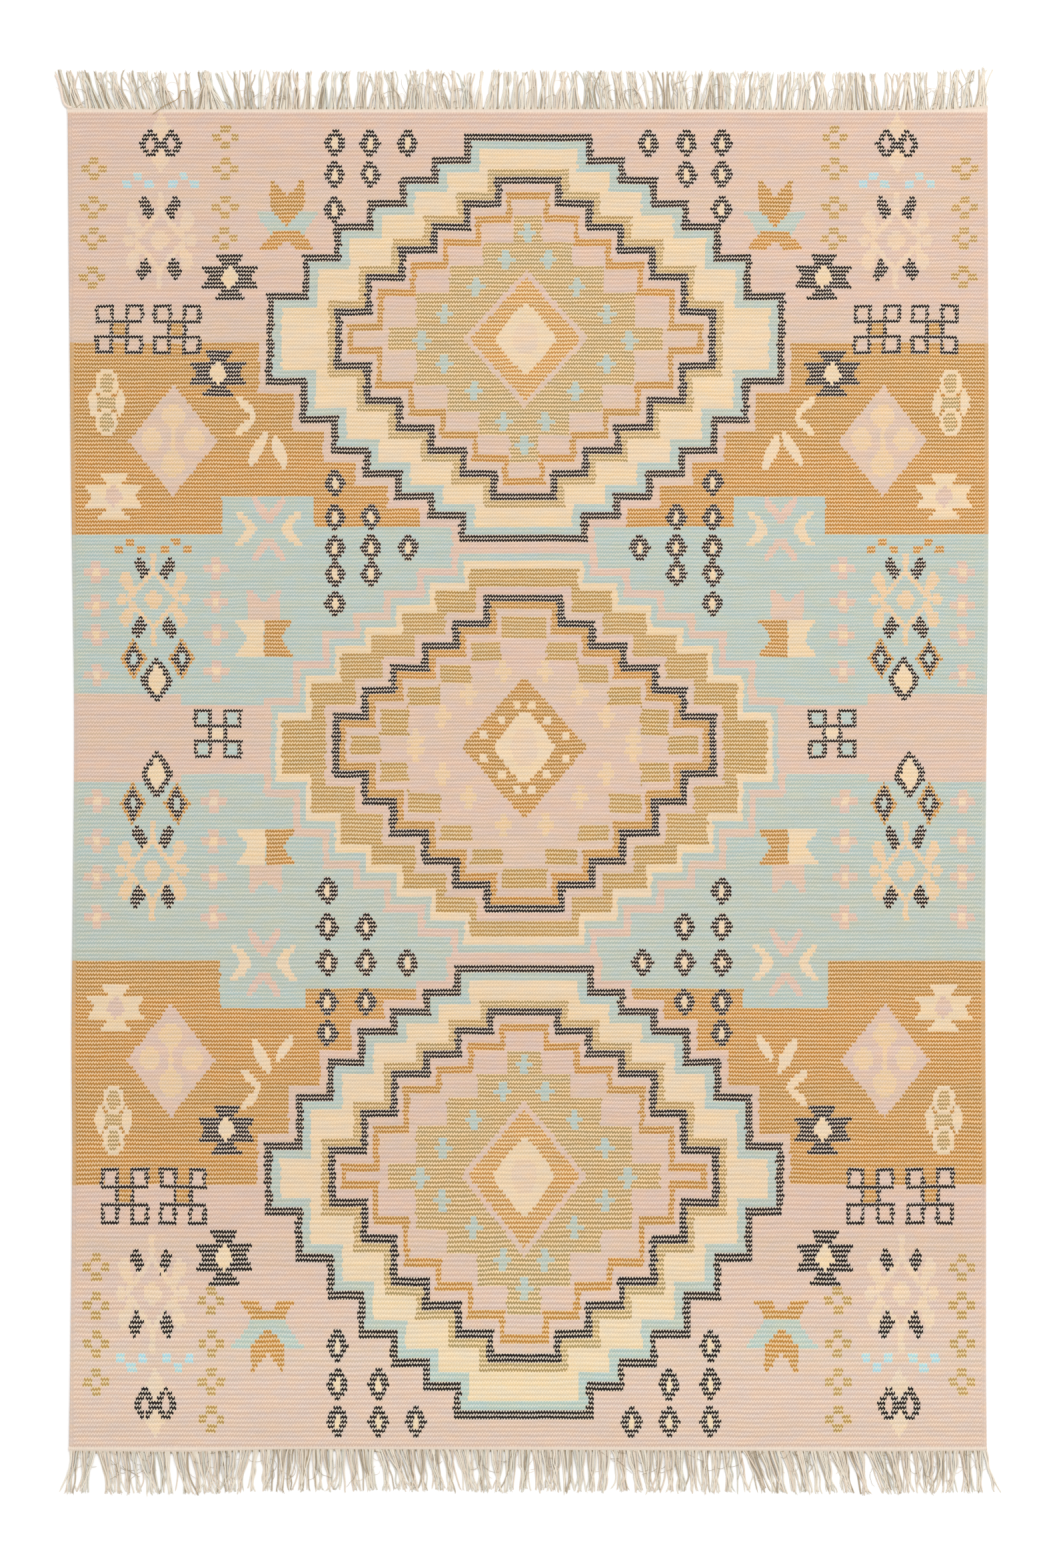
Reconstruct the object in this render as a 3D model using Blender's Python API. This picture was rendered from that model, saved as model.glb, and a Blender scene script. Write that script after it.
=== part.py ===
"""A handwoven flat rug with a fringe of warp ends at its head and foot, lying flat.

Metres, +Z up. The origin is the centre of the underside. +Y runs to the head end and +X to the right.
"""

import math
import random
from collections import namedtuple

import bmesh
import bpy

COLLECTION = "handwoven_rug"

# Driving sizes of the woven cloth
LENGTH = 1.950
WEFT_ROWS = 334
CREST_HEIGHT = 0.0060
VALLEY_HEIGHT = 0.0052
HEADING_ROWS = 1
HEADING_HEIGHT = 0.0048
PARTING = 0.0003

# Driving sizes of the fringe
LOCKS = 135
LOCK_SECTIONS = 3
ROOT_HALF_WIDTH = 0.0030
TIP_HALF_WIDTH = 0.0022
LOCK_HEIGHT = 0.0032
TIP_HEIGHT = 0.0022
TUFT_SIZES = (2, 2, 3, 3, 4)
TUFT_TIP_PITCH = 0.0062
TUFT_SWAY = 0.0026
CORNER_REACH = 0.030
SWAY_POWER = 1.35

HEAD = 1
FOOT = -1

# How tightly the weft is beaten down: a row of the weave and its distance from the head end
Beat = namedtuple("Beat", "row from_head")
BEATS = (
    Beat(0.0, 0.0000),
    Beat(7.3, 0.0440),
    Beat(59.0, 0.3348),
    Beat(110.7, 0.6227),
    Beat(167.0, 0.9273),
    Beat(223.3, 1.2510),
    Beat(275.0, 1.5504),
    Beat(326.7, 1.9021),
    Beat(334.0, 1.9500),
)

# The two selvedges draw in by a few millimetres along the rug
Side = namedtuple("Side", "from_head left right")
SIDES = (
    Side(0.000, 0.6700, 0.6662),
    Side(0.230, 0.6681, 0.6672),
    Side(0.520, 0.6652, 0.6681),
    Side(0.715, 0.6623, 0.6672),
    Side(0.905, 0.6604, 0.6652),
    Side(1.150, 0.6623, 0.6633),
    Side(1.345, 0.6643, 0.6633),
    Side(1.535, 0.6633, 0.6643),
    Side(1.830, 0.6662, 0.6643),
    Side(1.950, 0.6681, 0.6652),
)

# How far each heading edge stands out past its straight line, across the rug
Edge = namedtuple("Edge", "across out")
HEAD_EDGE = (
    Edge(-0.670, 0.0020),
    Edge(-0.575, 0.0000),
    Edge(0.200, 0.0000),
    Edge(0.504, -0.0018),
    Edge(0.588, -0.0008),
    Edge(0.626, 0.0012),
    Edge(0.670, 0.0060),
)
FOOT_EDGE = (
    Edge(-0.670, 0.0006),
    Edge(-0.497, 0.0020),
    Edge(-0.381, -0.0014),
    Edge(-0.304, -0.0020),
    Edge(0.297, 0.0004),
    Edge(0.491, 0.0016),
    Edge(0.670, 0.0002),
)

# Each fringe: how far its locks reach, how much they differ, and how its corner locks lean to the sides
Fringe = namedtuple("Fringe", "node end edge reach spread left_lean right_lean seed")
FRINGES = (
    Fringe("fringe_head", HEAD, HEAD_EDGE, 0.0530, 0.0030, -0.0180, 0.0030, 11),
    Fringe("fringe_foot", FOOT, FOOT_EDGE, 0.0590, 0.0030, -0.0080, 0.0110, 23),
)

# Red, green and blue, then roughness and metallic
Finish = namedtuple("Finish", "colour roughness metallic")
WOOL = Finish((0.78, 0.60, 0.45), 0.92, 0.0)
COTTON = Finish((0.74, 0.66, 0.54), 0.90, 0.0)


def read_between(table, column, at):
    """The value of a table's column at a point of its first column, on a smooth curve through its rows."""
    spot = 0
    while spot < len(table) - 2 and at > table[spot + 1][0]:
        spot += 1
    first, last = table[spot], table[spot + 1]
    before = table[max(spot - 1, 0)]
    after = table[min(spot + 2, len(table) - 1)]
    span = last[0] - first[0]
    part = (at - first[0]) / span
    start = getattr(first, column)
    stop = getattr(last, column)
    start_slope = (stop - getattr(before, column)) / (last[0] - before[0]) * span
    stop_slope = (getattr(after, column) - start) / (after[0] - first[0]) * span
    square = part * part
    cube = square * part
    return (
        (2 * cube - 3 * square + 1) * start
        + (cube - 2 * square + part) * start_slope
        + (3 * square - 2 * cube) * stop
        + (cube - square) * stop_slope
    )


def clear_scene():
    for obj in list(bpy.data.objects):
        bpy.data.objects.remove(obj, do_unlink=True)


def make_material(name, finish):
    material = bpy.data.materials.new(name)
    material.use_nodes = True
    shader = material.node_tree.nodes["Principled BSDF"]
    shader.inputs["Base Color"].default_value = (*finish.colour, 1.0)
    shader.inputs["Roughness"].default_value = finish.roughness
    shader.inputs["Metallic"].default_value = finish.metallic
    return material


def add_object(name, bm, material, collection):
    """Turns the finished shape into a named object with its faces pointing out."""
    bmesh.ops.recalc_face_normals(bm, faces=bm.faces[:])
    mesh = bpy.data.meshes.new(name)
    bm.to_mesh(mesh)
    bm.free()
    mesh.materials.append(material)
    obj = bpy.data.objects.new(name, mesh)
    collection.objects.link(obj)
    return obj


def row_place(row):
    """Where a row of the weave lies along Y."""
    return LENGTH / 2 - read_between(BEATS, "from_head", row)


def half_width(side, y):
    """How far a selvedge stands from the middle line at this Y: side is -1 on the left and 1 on the right."""
    column = "left" if side < 0 else "right"
    return read_between(SIDES, column, LENGTH / 2 - y)


def close_slab(bm):
    """Closes an open grid into a slab whose underside is flat on the floor."""
    made = bmesh.ops.extrude_face_region(bm, geom=bm.faces[:])
    for part in made["geom"]:
        if isinstance(part, bmesh.types.BMVert):
            part.co.z = 0.0


def make_woven_field(collection, material):
    """The cloth between its two headings: a flat underside, and weft ribs raised in the upper face."""
    rows = WEFT_ROWS - 2 * HEADING_ROWS
    lines = 2 * rows
    bm = bmesh.new()
    bmesh.ops.create_grid(bm, x_segments=1, y_segments=lines, size=0.5)
    for vert in bm.verts:
        line = round((0.5 - vert.co.y) * lines)
        side = math.copysign(1, vert.co.x)
        y = row_place(HEADING_ROWS + line / 2)
        height = CREST_HEIGHT if line % 2 else VALLEY_HEIGHT
        vert.co = (side * half_width(side, y), y, height)
    close_slab(bm)
    return add_object("woven_field", bm, material, collection)


def root_places(fringe):
    """The middle of each lock's root, evenly spaced from selvedge to selvedge."""
    edge_y = fringe.end * LENGTH / 2
    left = -half_width(-1, edge_y)
    right = half_width(1, edge_y)
    pitch = (right - left) / LOCKS
    return [left + pitch * (index + 0.5) for index in range(LOCKS)]


def tip_places(fringe, roots):
    """The middle of each lock's tip: locks gather in tufts, and those at the corners lean outwards."""
    draw = random.Random(fringe.seed)
    tips = []
    while len(tips) < len(roots):
        first = len(tips)
        size = min(draw.choice(TUFT_SIZES), len(roots) - first)
        members = roots[first : first + size]
        middle = sum(members) / size + draw.uniform(-TUFT_SWAY, TUFT_SWAY)
        for place in range(size):
            tips.append(middle + (place - (size - 1) / 2) * TUFT_TIP_PITCH)
    leaning = []
    for root, tip in zip(roots, tips):
        from_left = (root - roots[0]) / CORNER_REACH
        from_right = (roots[-1] - root) / CORNER_REACH
        lean = fringe.left_lean * math.exp(-from_left) + fringe.right_lean * math.exp(-from_right)
        leaning.append(tip + lean)
    return leaning


def make_fringe(fringe, collection, material):
    """A heading strip along one end of the cloth, and the locks that run out of it along the floor."""
    end = fringe.end
    inner_row = HEADING_ROWS if end == HEAD else WEFT_ROWS - HEADING_ROWS
    inner_y = row_place(inner_row) + end * PARTING
    roots = root_places(fringe)
    tips = tip_places(fringe, roots)
    edge_lines = [-half_width(-1, end * LENGTH / 2)]
    for root in roots:
        edge_lines += [root - ROOT_HALF_WIDTH, root + ROOT_HALF_WIDTH]
    edge_lines.append(half_width(1, end * LENGTH / 2))

    # The strip is a row of cells, every second one of them a root
    cells = len(edge_lines) - 1
    bm = bmesh.new()
    bmesh.ops.create_grid(bm, x_segments=cells, y_segments=1, size=0.5)
    for vert in bm.verts:
        across = edge_lines[round((vert.co.x + 0.5) * cells)]
        outer_y = end * (LENGTH / 2 + read_between(fringe.edge, "out", across))
        vert.co = (across, outer_y if vert.co.y > 0 else inner_y, HEADING_HEIGHT)
    close_slab(bm)
    bmesh.ops.recalc_face_normals(bm, faces=bm.faces[:])
    outer_faces = [face for face in bm.faces if face.normal.y * end > 0.5]
    outer_faces.sort(key=lambda face: face.calc_center_median().x)
    faces = outer_faces[1::2]
    root_ys = [face.calc_center_median().y for face in faces]

    draw = random.Random(fringe.seed + 1)
    reaches = [fringe.reach + draw.uniform(-1, 1) * fringe.spread for root in roots]
    for section in range(1, LOCK_SECTIONS + 1):
        part = section / LOCK_SECTIONS
        half = ROOT_HALF_WIDTH + (TIP_HALF_WIDTH - ROOT_HALF_WIDTH) * part
        height = LOCK_HEIGHT + (TIP_HEIGHT - LOCK_HEIGHT) * part
        made = bmesh.ops.extrude_discrete_faces(bm, faces=faces)
        faces = sorted(made["faces"], key=lambda face: face.calc_center_median().x)
        for face, root, tip, root_y, reach in zip(faces, roots, tips, root_ys, reaches):
            middle = face.calc_center_median()
            across = root + (tip - root) * part**SWAY_POWER
            for vert in face.verts:
                side = math.copysign(1, vert.co.x - middle.x)
                top = height if vert.co.z > middle.z else 0.0
                vert.co = (across + side * half, root_y + end * reach * part, top)
    return add_object(fringe.node, bm, material, collection)


def main():
    clear_scene()
    collection = bpy.data.collections.new(COLLECTION)
    bpy.context.scene.collection.children.link(collection)
    make_woven_field(collection, make_material("woven_wool", WOOL))
    cotton = make_material("warp_cotton", COTTON)
    for fringe in FRINGES:
        make_fringe(fringe, collection, cotton)


main()
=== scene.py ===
"""A handwoven flat rug in thick wool weft on cotton warp, with a fringe at its head and foot, lying flat.

Metres, +Z up. The origin is the centre of the rug's underside. +Y runs to the head end and +X to the right.
"""

import math
import random
from collections import namedtuple

import bpy
import mathutils
import numpy as np
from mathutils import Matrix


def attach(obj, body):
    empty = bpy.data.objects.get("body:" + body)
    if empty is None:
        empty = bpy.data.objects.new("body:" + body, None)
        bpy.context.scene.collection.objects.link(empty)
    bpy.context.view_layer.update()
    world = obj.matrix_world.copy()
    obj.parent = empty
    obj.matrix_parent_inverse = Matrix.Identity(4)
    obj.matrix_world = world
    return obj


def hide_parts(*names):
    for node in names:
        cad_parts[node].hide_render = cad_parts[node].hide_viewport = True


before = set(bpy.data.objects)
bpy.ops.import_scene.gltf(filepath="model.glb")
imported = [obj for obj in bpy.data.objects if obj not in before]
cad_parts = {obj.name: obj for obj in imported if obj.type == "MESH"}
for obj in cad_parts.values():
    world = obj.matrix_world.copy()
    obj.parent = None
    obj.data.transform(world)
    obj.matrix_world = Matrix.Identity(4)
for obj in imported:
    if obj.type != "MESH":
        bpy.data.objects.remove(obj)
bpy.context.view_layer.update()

bl_info = {
    "name": "Handwoven Rug",
    "version": (1, 0, 0),
    "blender": (4, 5, 0),
    "location": "View3D > Sidebar > Rug",
    "description": "Weaves a flat rug from its chart and knots its fringes",
    "category": "Mesh",
}

# Sizes of the whole rug and of the roots of its fringes
LENGTH = 1.950
WEFT_ROWS = 334
HEADING_ROWS = 1
HEADING_LAP = 0.0004
LOCKS = 135
YARN_PITCH = 0.0021
HEAD = 1
FOOT = -1

# How tightly the weft is beaten down: a row of the weave and its distance from the head end
Beat = namedtuple("Beat", "row from_head")
BEATS = (
    Beat(0.0, 0.0000),
    Beat(7.3, 0.0440),
    Beat(59.0, 0.3348),
    Beat(110.7, 0.6227),
    Beat(167.0, 0.9273),
    Beat(223.3, 1.2510),
    Beat(275.0, 1.5504),
    Beat(326.7, 1.9021),
    Beat(334.0, 1.9500),
)

# The two selvedges draw in by a few millimetres along the rug
Side = namedtuple("Side", "from_head left right")
SIDES = (
    Side(0.000, 0.6700, 0.6662),
    Side(0.230, 0.6681, 0.6672),
    Side(0.520, 0.6652, 0.6681),
    Side(0.715, 0.6623, 0.6672),
    Side(0.905, 0.6604, 0.6652),
    Side(1.150, 0.6623, 0.6633),
    Side(1.345, 0.6643, 0.6633),
    Side(1.535, 0.6633, 0.6643),
    Side(1.830, 0.6662, 0.6643),
    Side(1.950, 0.6681, 0.6652),
)

# How far each heading edge stands out past its straight line, across the rug
Edge = namedtuple("Edge", "across out")
HEAD_EDGE = (
    Edge(-0.670, 0.0020),
    Edge(-0.575, 0.0000),
    Edge(0.200, 0.0000),
    Edge(0.504, -0.0018),
    Edge(0.588, -0.0008),
    Edge(0.626, 0.0012),
    Edge(0.670, 0.0060),
)
FOOT_EDGE = (
    Edge(-0.670, 0.0006),
    Edge(-0.497, 0.0020),
    Edge(-0.381, -0.0014),
    Edge(-0.304, -0.0020),
    Edge(0.297, 0.0004),
    Edge(0.491, 0.0016),
    Edge(0.670, 0.0002),
)

# Each fringe: how far its yarns reach, and how much they differ
Fringe = namedtuple("Fringe", "node end edge reach spread seed")
FRINGES = (
    Fringe("fringe_head", HEAD, HEAD_EDGE, 0.0530, 0.0035, 11),
    Fringe("fringe_foot", FOOT, FOOT_EDGE, 0.0590, 0.0035, 23),
)

# Each tuft from the left, in millimetres: how far its roots go, the middle of its tips, and half their width
Tuft = namedtuple("Tuft", "root tip spread")
HEAD_TUFTS = (
    (-660, -682, 6.3), (-645, -670, 5.8), (-616, -645, 8.7), (-598, -627, 6.8), (-573, -608, 9.2),
    (-554, -580, 8.2), (-536, -562, 6.3), (-509, -537, 8.7), (-500, -510, 6.3), (-484, -495, 4.4),
    (-465, -470, 8.7), (-436, -471, 4.8), (-426, -450, 6.8), (-413, -428, 5.8), (-394, -410, 6.3),
    (-386, -391, 5.8), (-366, -369, 4.8), (-342, -351, 8.7), (-331, -337, 4.4), (-315, -319, 3.9),
    (-292, -298, 6.3), (-279, -284, 4.8), (-255, -268, 7.3), (-233, -242, 7.3), (-205, -219, 6.3),
    (-183, -198, 10.7), (-151, -166, 12.1), (-131, -146, 5.8), (-113, -131, 7.3), (-98, -108, 4.8),
    (-80, -88, 8.2), (-68, -70, 2.9), (-44, -50, 7.3), (-27, -31, 4.8), (-14, -19, 3.9),
    (-3, -9, 4.4), (14, 7, 6.8), (28, 22, 4.8), (37, 34, 3.4), (58, 51, 6.8),
    (77, 66, 5.8), (101, 87, 7.3), (125, 106, 9.7), (148, 127, 9.2), (172, 147, 6.8),
    (183, 168, 5.3), (195, 182, 5.3), (209, 198, 6.3), (216, 210, 2.4), (232, 221, 8.7),
    (247, 247, 7.8), (276, 265, 7.3), (287, 279, 5.8), (296, 290, 3.9), (315, 310, 10.2),
    (332, 328, 4.4), (355, 347, 12.1), (371, 368, 6.3), (386, 380, 5.8), (412, 402, 9.7),
    (436, 426, 11.1), (454, 451, 4.4), (481, 467, 9.2), (501, 483, 7.8), (512, 500, 2.9),
    (522, 521, 4.4), (537, 538, 7.3), (561, 551, 4.8), (583, 568, 7.8), (607, 602, 7.3),
    (626, 618, 8.2), (646, 637, 8.7), (667, 662, 10.2),
)
FOOT_TUFTS = (
    (-651, -667, 8.2), (-630, -648, 9.2), (-606, -608, 9.7), (-593, -595, 2.9), (-581, -580, 4.8),
    (-569, -569, 7.8), (-543, -548, 11.6), (-521, -526, 9.7), (-494, -499, 15.0), (-461, -470, 14.1),
    (-449, -452, 5.3), (-435, -439, 5.3), (-422, -433, 5.3), (-402, -422, 8.2), (-390, -403, 7.8),
    (-366, -379, 7.8), (-350, -359, 4.4), (-339, -348, 3.9), (-315, -329, 9.7), (-308, -313, 3.4),
    (-299, -303, 4.4), (-284, -289, 5.8), (-266, -273, 8.2), (-248, -252, 12.1), (-224, -232, 7.3),
    (-208, -200, 9.2), (-186, -181, 7.3), (-168, -167, 5.8), (-149, -152, 5.8), (-129, -133, 10.2),
    (-110, -109, 12.6), (-81, -85, 10.2), (-54, -64, 10.7), (-36, -44, 9.2), (-15, -28, 8.7),
    (5, -7, 10.7), (18, 17, 5.3), (30, 29, 5.8), (45, 40, 5.8), (66, 58, 7.8),
    (81, 76, 5.3), (99, 92, 9.2), (119, 110, 8.7), (140, 137, 9.2), (158, 158, 7.8),
    (178, 175, 6.8), (196, 189, 7.8), (211, 207, 5.8), (226, 219, 6.8), (247, 238, 8.2),
    (264, 255, 6.8), (280, 274, 8.2), (296, 291, 7.3), (309, 312, 8.7), (332, 341, 8.2),
    (348, 358, 7.3), (365, 369, 6.3), (382, 389, 7.8), (405, 406, 9.2), (417, 421, 5.8),
    (436, 439, 8.2), (463, 465, 8.7), (489, 490, 8.7), (518, 522, 11.6), (539, 538, 4.8),
    (557, 551, 5.3), (567, 569, 4.8), (591, 583, 9.2), (608, 602, 7.3), (625, 617, 7.8),
    (645, 638, 8.7), (660, 657, 8.7), (667, 676, 3.9),
)

# Loose cords of the head fringe, in millimetres: each point's place from the middle of the heading edge,
# and its height
CORNER_CORD = ((-664, 1, 4), (-673, 4, 3), (-677, 12, 3), (-679, 24, 3), (-684, 42, 2), (-688, 50, 2))
STRAY_YARN = (
    (-497, 22, 5), (-500, 27, 6), (-506, 25, 6), (-507, 17, 6), (-513, 11, 6),
    (-521, 8, 6), (-530, 3, 7), (-538, -3, 7), (-546, -9, 8),
)

# The pattern's own middle line wanders a few millimetres from the rug's
Middle = namedtuple("Middle", "from_head across")
MIDDLES = (
    Middle(0.000, -0.0005),
    Middle(0.130, -0.0010),
    Middle(0.330, -0.0048),
    Middle(0.550, -0.0073),
    Middle(0.720, -0.0073),
    Middle(0.910, -0.0063),
    Middle(1.130, -0.0068),
    Middle(1.950, -0.0073),
)

# The chart of the weave is counted in warps across and weft rows along
WARP_PITCH = 0.002035
CHART_HALF = 340
REGULAR_BREAK = 48
SELVEDGE_WARPS = 3
# The seeds that keep each run the same: the pattern's small faults, the rows' shades and their waviness
CHART_SEED = 41
SHADE_SEED = 7
WAVE_SEED = 5

# Every weft yarn: its row colour, the colour that its row leans to by turns, and the pale pick beside it
YARN_NAMES = (
    "pink", "mustard", "sky", "khaki", "cream", "black",
    "orange", "pale", "rose", "straw", "ice", "heading",
)
PINK, MUSTARD, SKY, KHAKI, CREAM, BLACK, ORANGE, PALE, ROSE, STRAW, ICE, HEADING = range(len(YARN_NAMES))
# How much lighter the yarns have faded in red, green and blue at the foot end, and from which row on
FOOT_FADE = (0.05, 0.10, 0.10)
FADE_START = 282
FADE_ROWS = 30
# How far a row may move towards the other shade of its yarn, and how much lighter or darker it may be
SHADE_STEP = 0.45
ROW_SPREAD = 0.035
PALE_SPREAD = 0.025
# How much more of its row a yarn takes than the others, as it is thicker or beaten down less
EXTRA_SHARE = {BLACK: 0.14, SKY: 0.06, PINK: 0.03}


def read_between(table, column, at):
    """The value of a table's column at a point of its first column, on a smooth curve through its rows."""
    spot = 0
    while spot < len(table) - 2 and at > table[spot + 1][0]:
        spot += 1
    first, last = table[spot], table[spot + 1]
    before = table[max(spot - 1, 0)]
    after = table[min(spot + 2, len(table) - 1)]
    span = last[0] - first[0]
    part = (at - first[0]) / span
    start = getattr(first, column)
    stop = getattr(last, column)
    start_slope = (stop - getattr(before, column)) / (last[0] - before[0]) * span
    stop_slope = (getattr(after, column) - start) / (after[0] - first[0]) * span
    square = part * part
    cube = square * part
    return (
        (2 * cube - 3 * square + 1) * start
        + (cube - 2 * square + part) * start_slope
        + (3 * square - 2 * cube) * stop
        + (cube - square) * stop_slope
    )


def row_place(row):
    """Where a row of the weave lies along Y."""
    return LENGTH / 2 - read_between(BEATS, "from_head", row)


def half_width(side, y):
    """How far a selvedge stands from the middle line at this Y: side is -1 on the left and 1 on the right."""
    column = "left" if side < 0 else "right"
    return read_between(SIDES, column, LENGTH / 2 - y)


# One stitch of a motif: a yarn laid on one row from start to stop, on both sides of the motif's middle
Stitch = namedtuple("Stitch", "yarn row start stop")
# A motif's middle on each half of the rug, in warps from the pattern's middle line, and its row
Place = namedtuple("Place", "motif left right row")


def tiers(yarn, top, *spans):
    """A stitch for each row from the top down, each span giving where it starts and stops."""
    return [Stitch(yarn, top + step, start, stop) for step, (start, stop) in enumerate(spans)]


def flipped(stitches):
    """The same motif upside down."""
    return [stitch._replace(row=-stitch.row) for stitch in stitches]


def diamond(yarn, half, rise):
    """A solid diamond of half so many warps and rise so many rows above and below its middle."""
    return [
        Stitch(yarn, row, 0, half * (1 - abs(row) / (rise + 0.6)))
        for row in range(-rise, rise + 1)
    ]


def box_cross(inside, bar):
    """Four small squares joined by a bar, in black outline."""
    square = tiers(BLACK, -6, (4, 17)) + tiers(inside, -5, *[(6.5, 14.5)] * 3)
    square += tiers(BLACK, -5, *[(14.2, 17.2)] * 3) + tiers(BLACK, -5, *[(4, 6.8)] * 3)
    half = square + tiers(BLACK, -2, (0, 17))
    middle = tiers(bar, -1, *[(0, 4.5)] * 3) + tiers(BLACK, -1, *[(4.2, 7)] * 3)
    return half + middle + flipped(half)


def star(yarn, heart):
    """An eight-pointed star with a round heart."""
    return (
        tiers(yarn, -6, (0, 9.5), (0, 8), (0, 6))
        + tiers(heart, -3, (0, 3), (0, 6), (0, 7), (0, 7), (0, 5.5), (0, 3))
        + tiers(yarn, -3, (1.8, 20), (4.2, 18), (5.6, 16), (6.2, 16), (4.0, 18), (1.2, 20))
        + tiers(yarn, 3, (0, 6), (0, 8.3), (0, 11))
    )


def cross(yarn, heart):
    """An upright cross with a small heart."""
    arms = tiers(yarn, -3, *[(0, 3.5)] * 6) + tiers(yarn, -1, *[(0, 9)] * 2)
    return arms + tiers(heart, -1, *[(0, 2.5)] * 2)


def blocks(yarn):
    """Two raised blocks and four lower ones."""
    high = tiers(yarn, -2, *[(13.5, 19.5)] * 2)
    low = tiers(yarn, 0, *[(5.5, 11.5)] * 2) + tiers(yarn, 0, *[(21.5, 27.5)] * 2)
    return high + low


def ring(yarn, middle, spans):
    """A ring about a middle of its own: spans give its inner and outer half on each row."""
    top = -(len(spans) // 2)
    outer = tiers(yarn, top, *[(middle + inner, middle + far) for inner, far in spans])
    inner = tiers(yarn, top, *[(middle - far, middle - near) for near, far in spans])
    return outer + inner


SMALL_RING = ((0, 2.6), (0, 5.2), (1.4, 6.6), (2.2, 7.8), (1.8, 6.6), (0, 4.8), (0, 2.3))
PAIR_RING = ((0, 2.3), (0, 4.4), (1.4, 6.4), (2.8, 8), (2.4, 7.5), (0.8, 5.7), (0, 3.4))
LARGE_RING = (
    (0, 1.6), (0, 4), (1.8, 6), (3.6, 8), (5, 9.6), (6, 10.8),
    (6.3, 10.8), (5.4, 10), (3.8, 8.4), (1.8, 6.2), (0, 4.4), (0, 2),
)
LEAVES_IN = ((9.3, 12.8), (7.2, 14.7), (6, 14.3), (4.3, 12.8), (4.2, 11.3), (6.5, 10))
LEAVES_OUT = ((8.8, 11.4), (7.2, 13.3), (5.3, 14.5), (6.2, 16), (8.2, 15.6), (10.6, 13.7))


def flower(yarn, frame_too):
    """A flower seen from above: a heart, forked arms to the corners, and stems up and down."""
    heart = tiers(yarn, -2, (0, 3), (0, 5.5), (0, 6.5), (0, 5.5), (0, 3))
    arms = tiers(yarn, 2, (12.5, 18), (13.5, 20.5), (14.5, 23), (15, 24), (15.5, 24), (17, 22))
    arms += tiers(yarn, 0, (16, 26), (19.5, 25))
    rim = [Stitch(yarn, row, 15.5 - 2.35 * row, 20.5 - 2.45 * row) for row in range(0, 7)]
    stem = tiers(yarn, 7, (0, 3.5), *[(0, 2)] * 5)
    half = arms + (rim if frame_too else []) + stem
    return heart + half + flipped(half)


TULIP = (
    tiers(SKY, 8, (0, 21.8), (0, 20), (0, 18), (0, 16), (0, 14.3), (0, 12.7))
    + tiers(MUSTARD, 0, (8.5, 12.3), (6.5, 12.3), (4, 12.3), (1.5, 12.3), (0, 12), (0, 12))
    + tiers(MUSTARD, 6, (0, 11.5), (0, 10.5), (0, 8.5), (0, 6), (0, 3.5), (0, 1.5))
    + tiers(MUSTARD, 13, (0, 10), (0, 12.5), (0, 15), (3, 17), (6, 19))
)
TULIP = [stitch._replace(row=stitch.row - 9) for stitch in TULIP]
FOOT_TULIP = (
    tiers(MUSTARD, -7, (6, 19), (4, 16.5), (0, 14.5), (0, 12.5))
    + tiers(SKY, -3, (0, 13), (0, 14.5), (0, 17), (0, 19.5), (0, 22.5), (0, 25.5))
    + tiers(MUSTARD, -1, (0, 3), (0, 6.5), (0, 9), (0, 12), (0, 12))
    + tiers(MUSTARD, 4, (1.5, 12), (4.5, 12), (6.5, 12), (8.5, 11.5))
)

SNOWFLAKE = (
    tiers(PINK, -8, (8, 11.5), (6, 11.5), (3.5, 10.5), (1, 9), (0, 7), (0, 4.5), (0, 2.5))
    + tiers(PINK, 3, (0, 4), (0, 6), (1, 8), (3.5, 10), (5.5, 11.5), (7.5, 12))
    + tiers(CREAM, -4, (18.5, 23), (14.5, 22), (12, 19), (10, 17.5), (9, 17))
    + tiers(CREAM, 1, (10, 18), (12, 19.5), (14, 22), (18, 24))
)

PETAL = ((0, 4.5), (3, 6.8), (4.4, 7.6), (4.6, 7.6), (4.4, 7.6), (3, 6.8), (0, 4))
ROSETTE = tiers(KHAKI, -2, *[(0, 4.6)] * 5) + ring(CREAM, 0, PETAL)
ROSETTE = [stitch._replace(row=stitch.row - 5) for stitch in ROSETTE]
ROSETTE = ROSETTE + flipped(ROSETTE) + tiers(KHAKI, -1, *[(0, 6.5)] * 3)
ROSETTE = ROSETTE + tiers(CREAM, -3, (8, 11), (7, 12.5), *[(6.5, 13)] * 3, (7, 12.5), (8, 11))
POSY = tiers(ROSE, -9, (0, 4), (0, 7), (0, 8.5), (0, 8.5), (0, 7), (0, 4), *[(0, 1.5)] * 3)
POSY = POSY + tiers(ROSE, 0, *[(0, 1.5)] * 3, (0, 4), (0, 6.5), (0, 8), (0, 8.5), (0, 8), (0, 6.5), (0, 3))
POSY = POSY + tiers(ROSE, -3, (12, 18), (9.5, 21), (8, 22.5), (8, 22.5), (8.5, 21.5), (11, 19))

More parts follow.
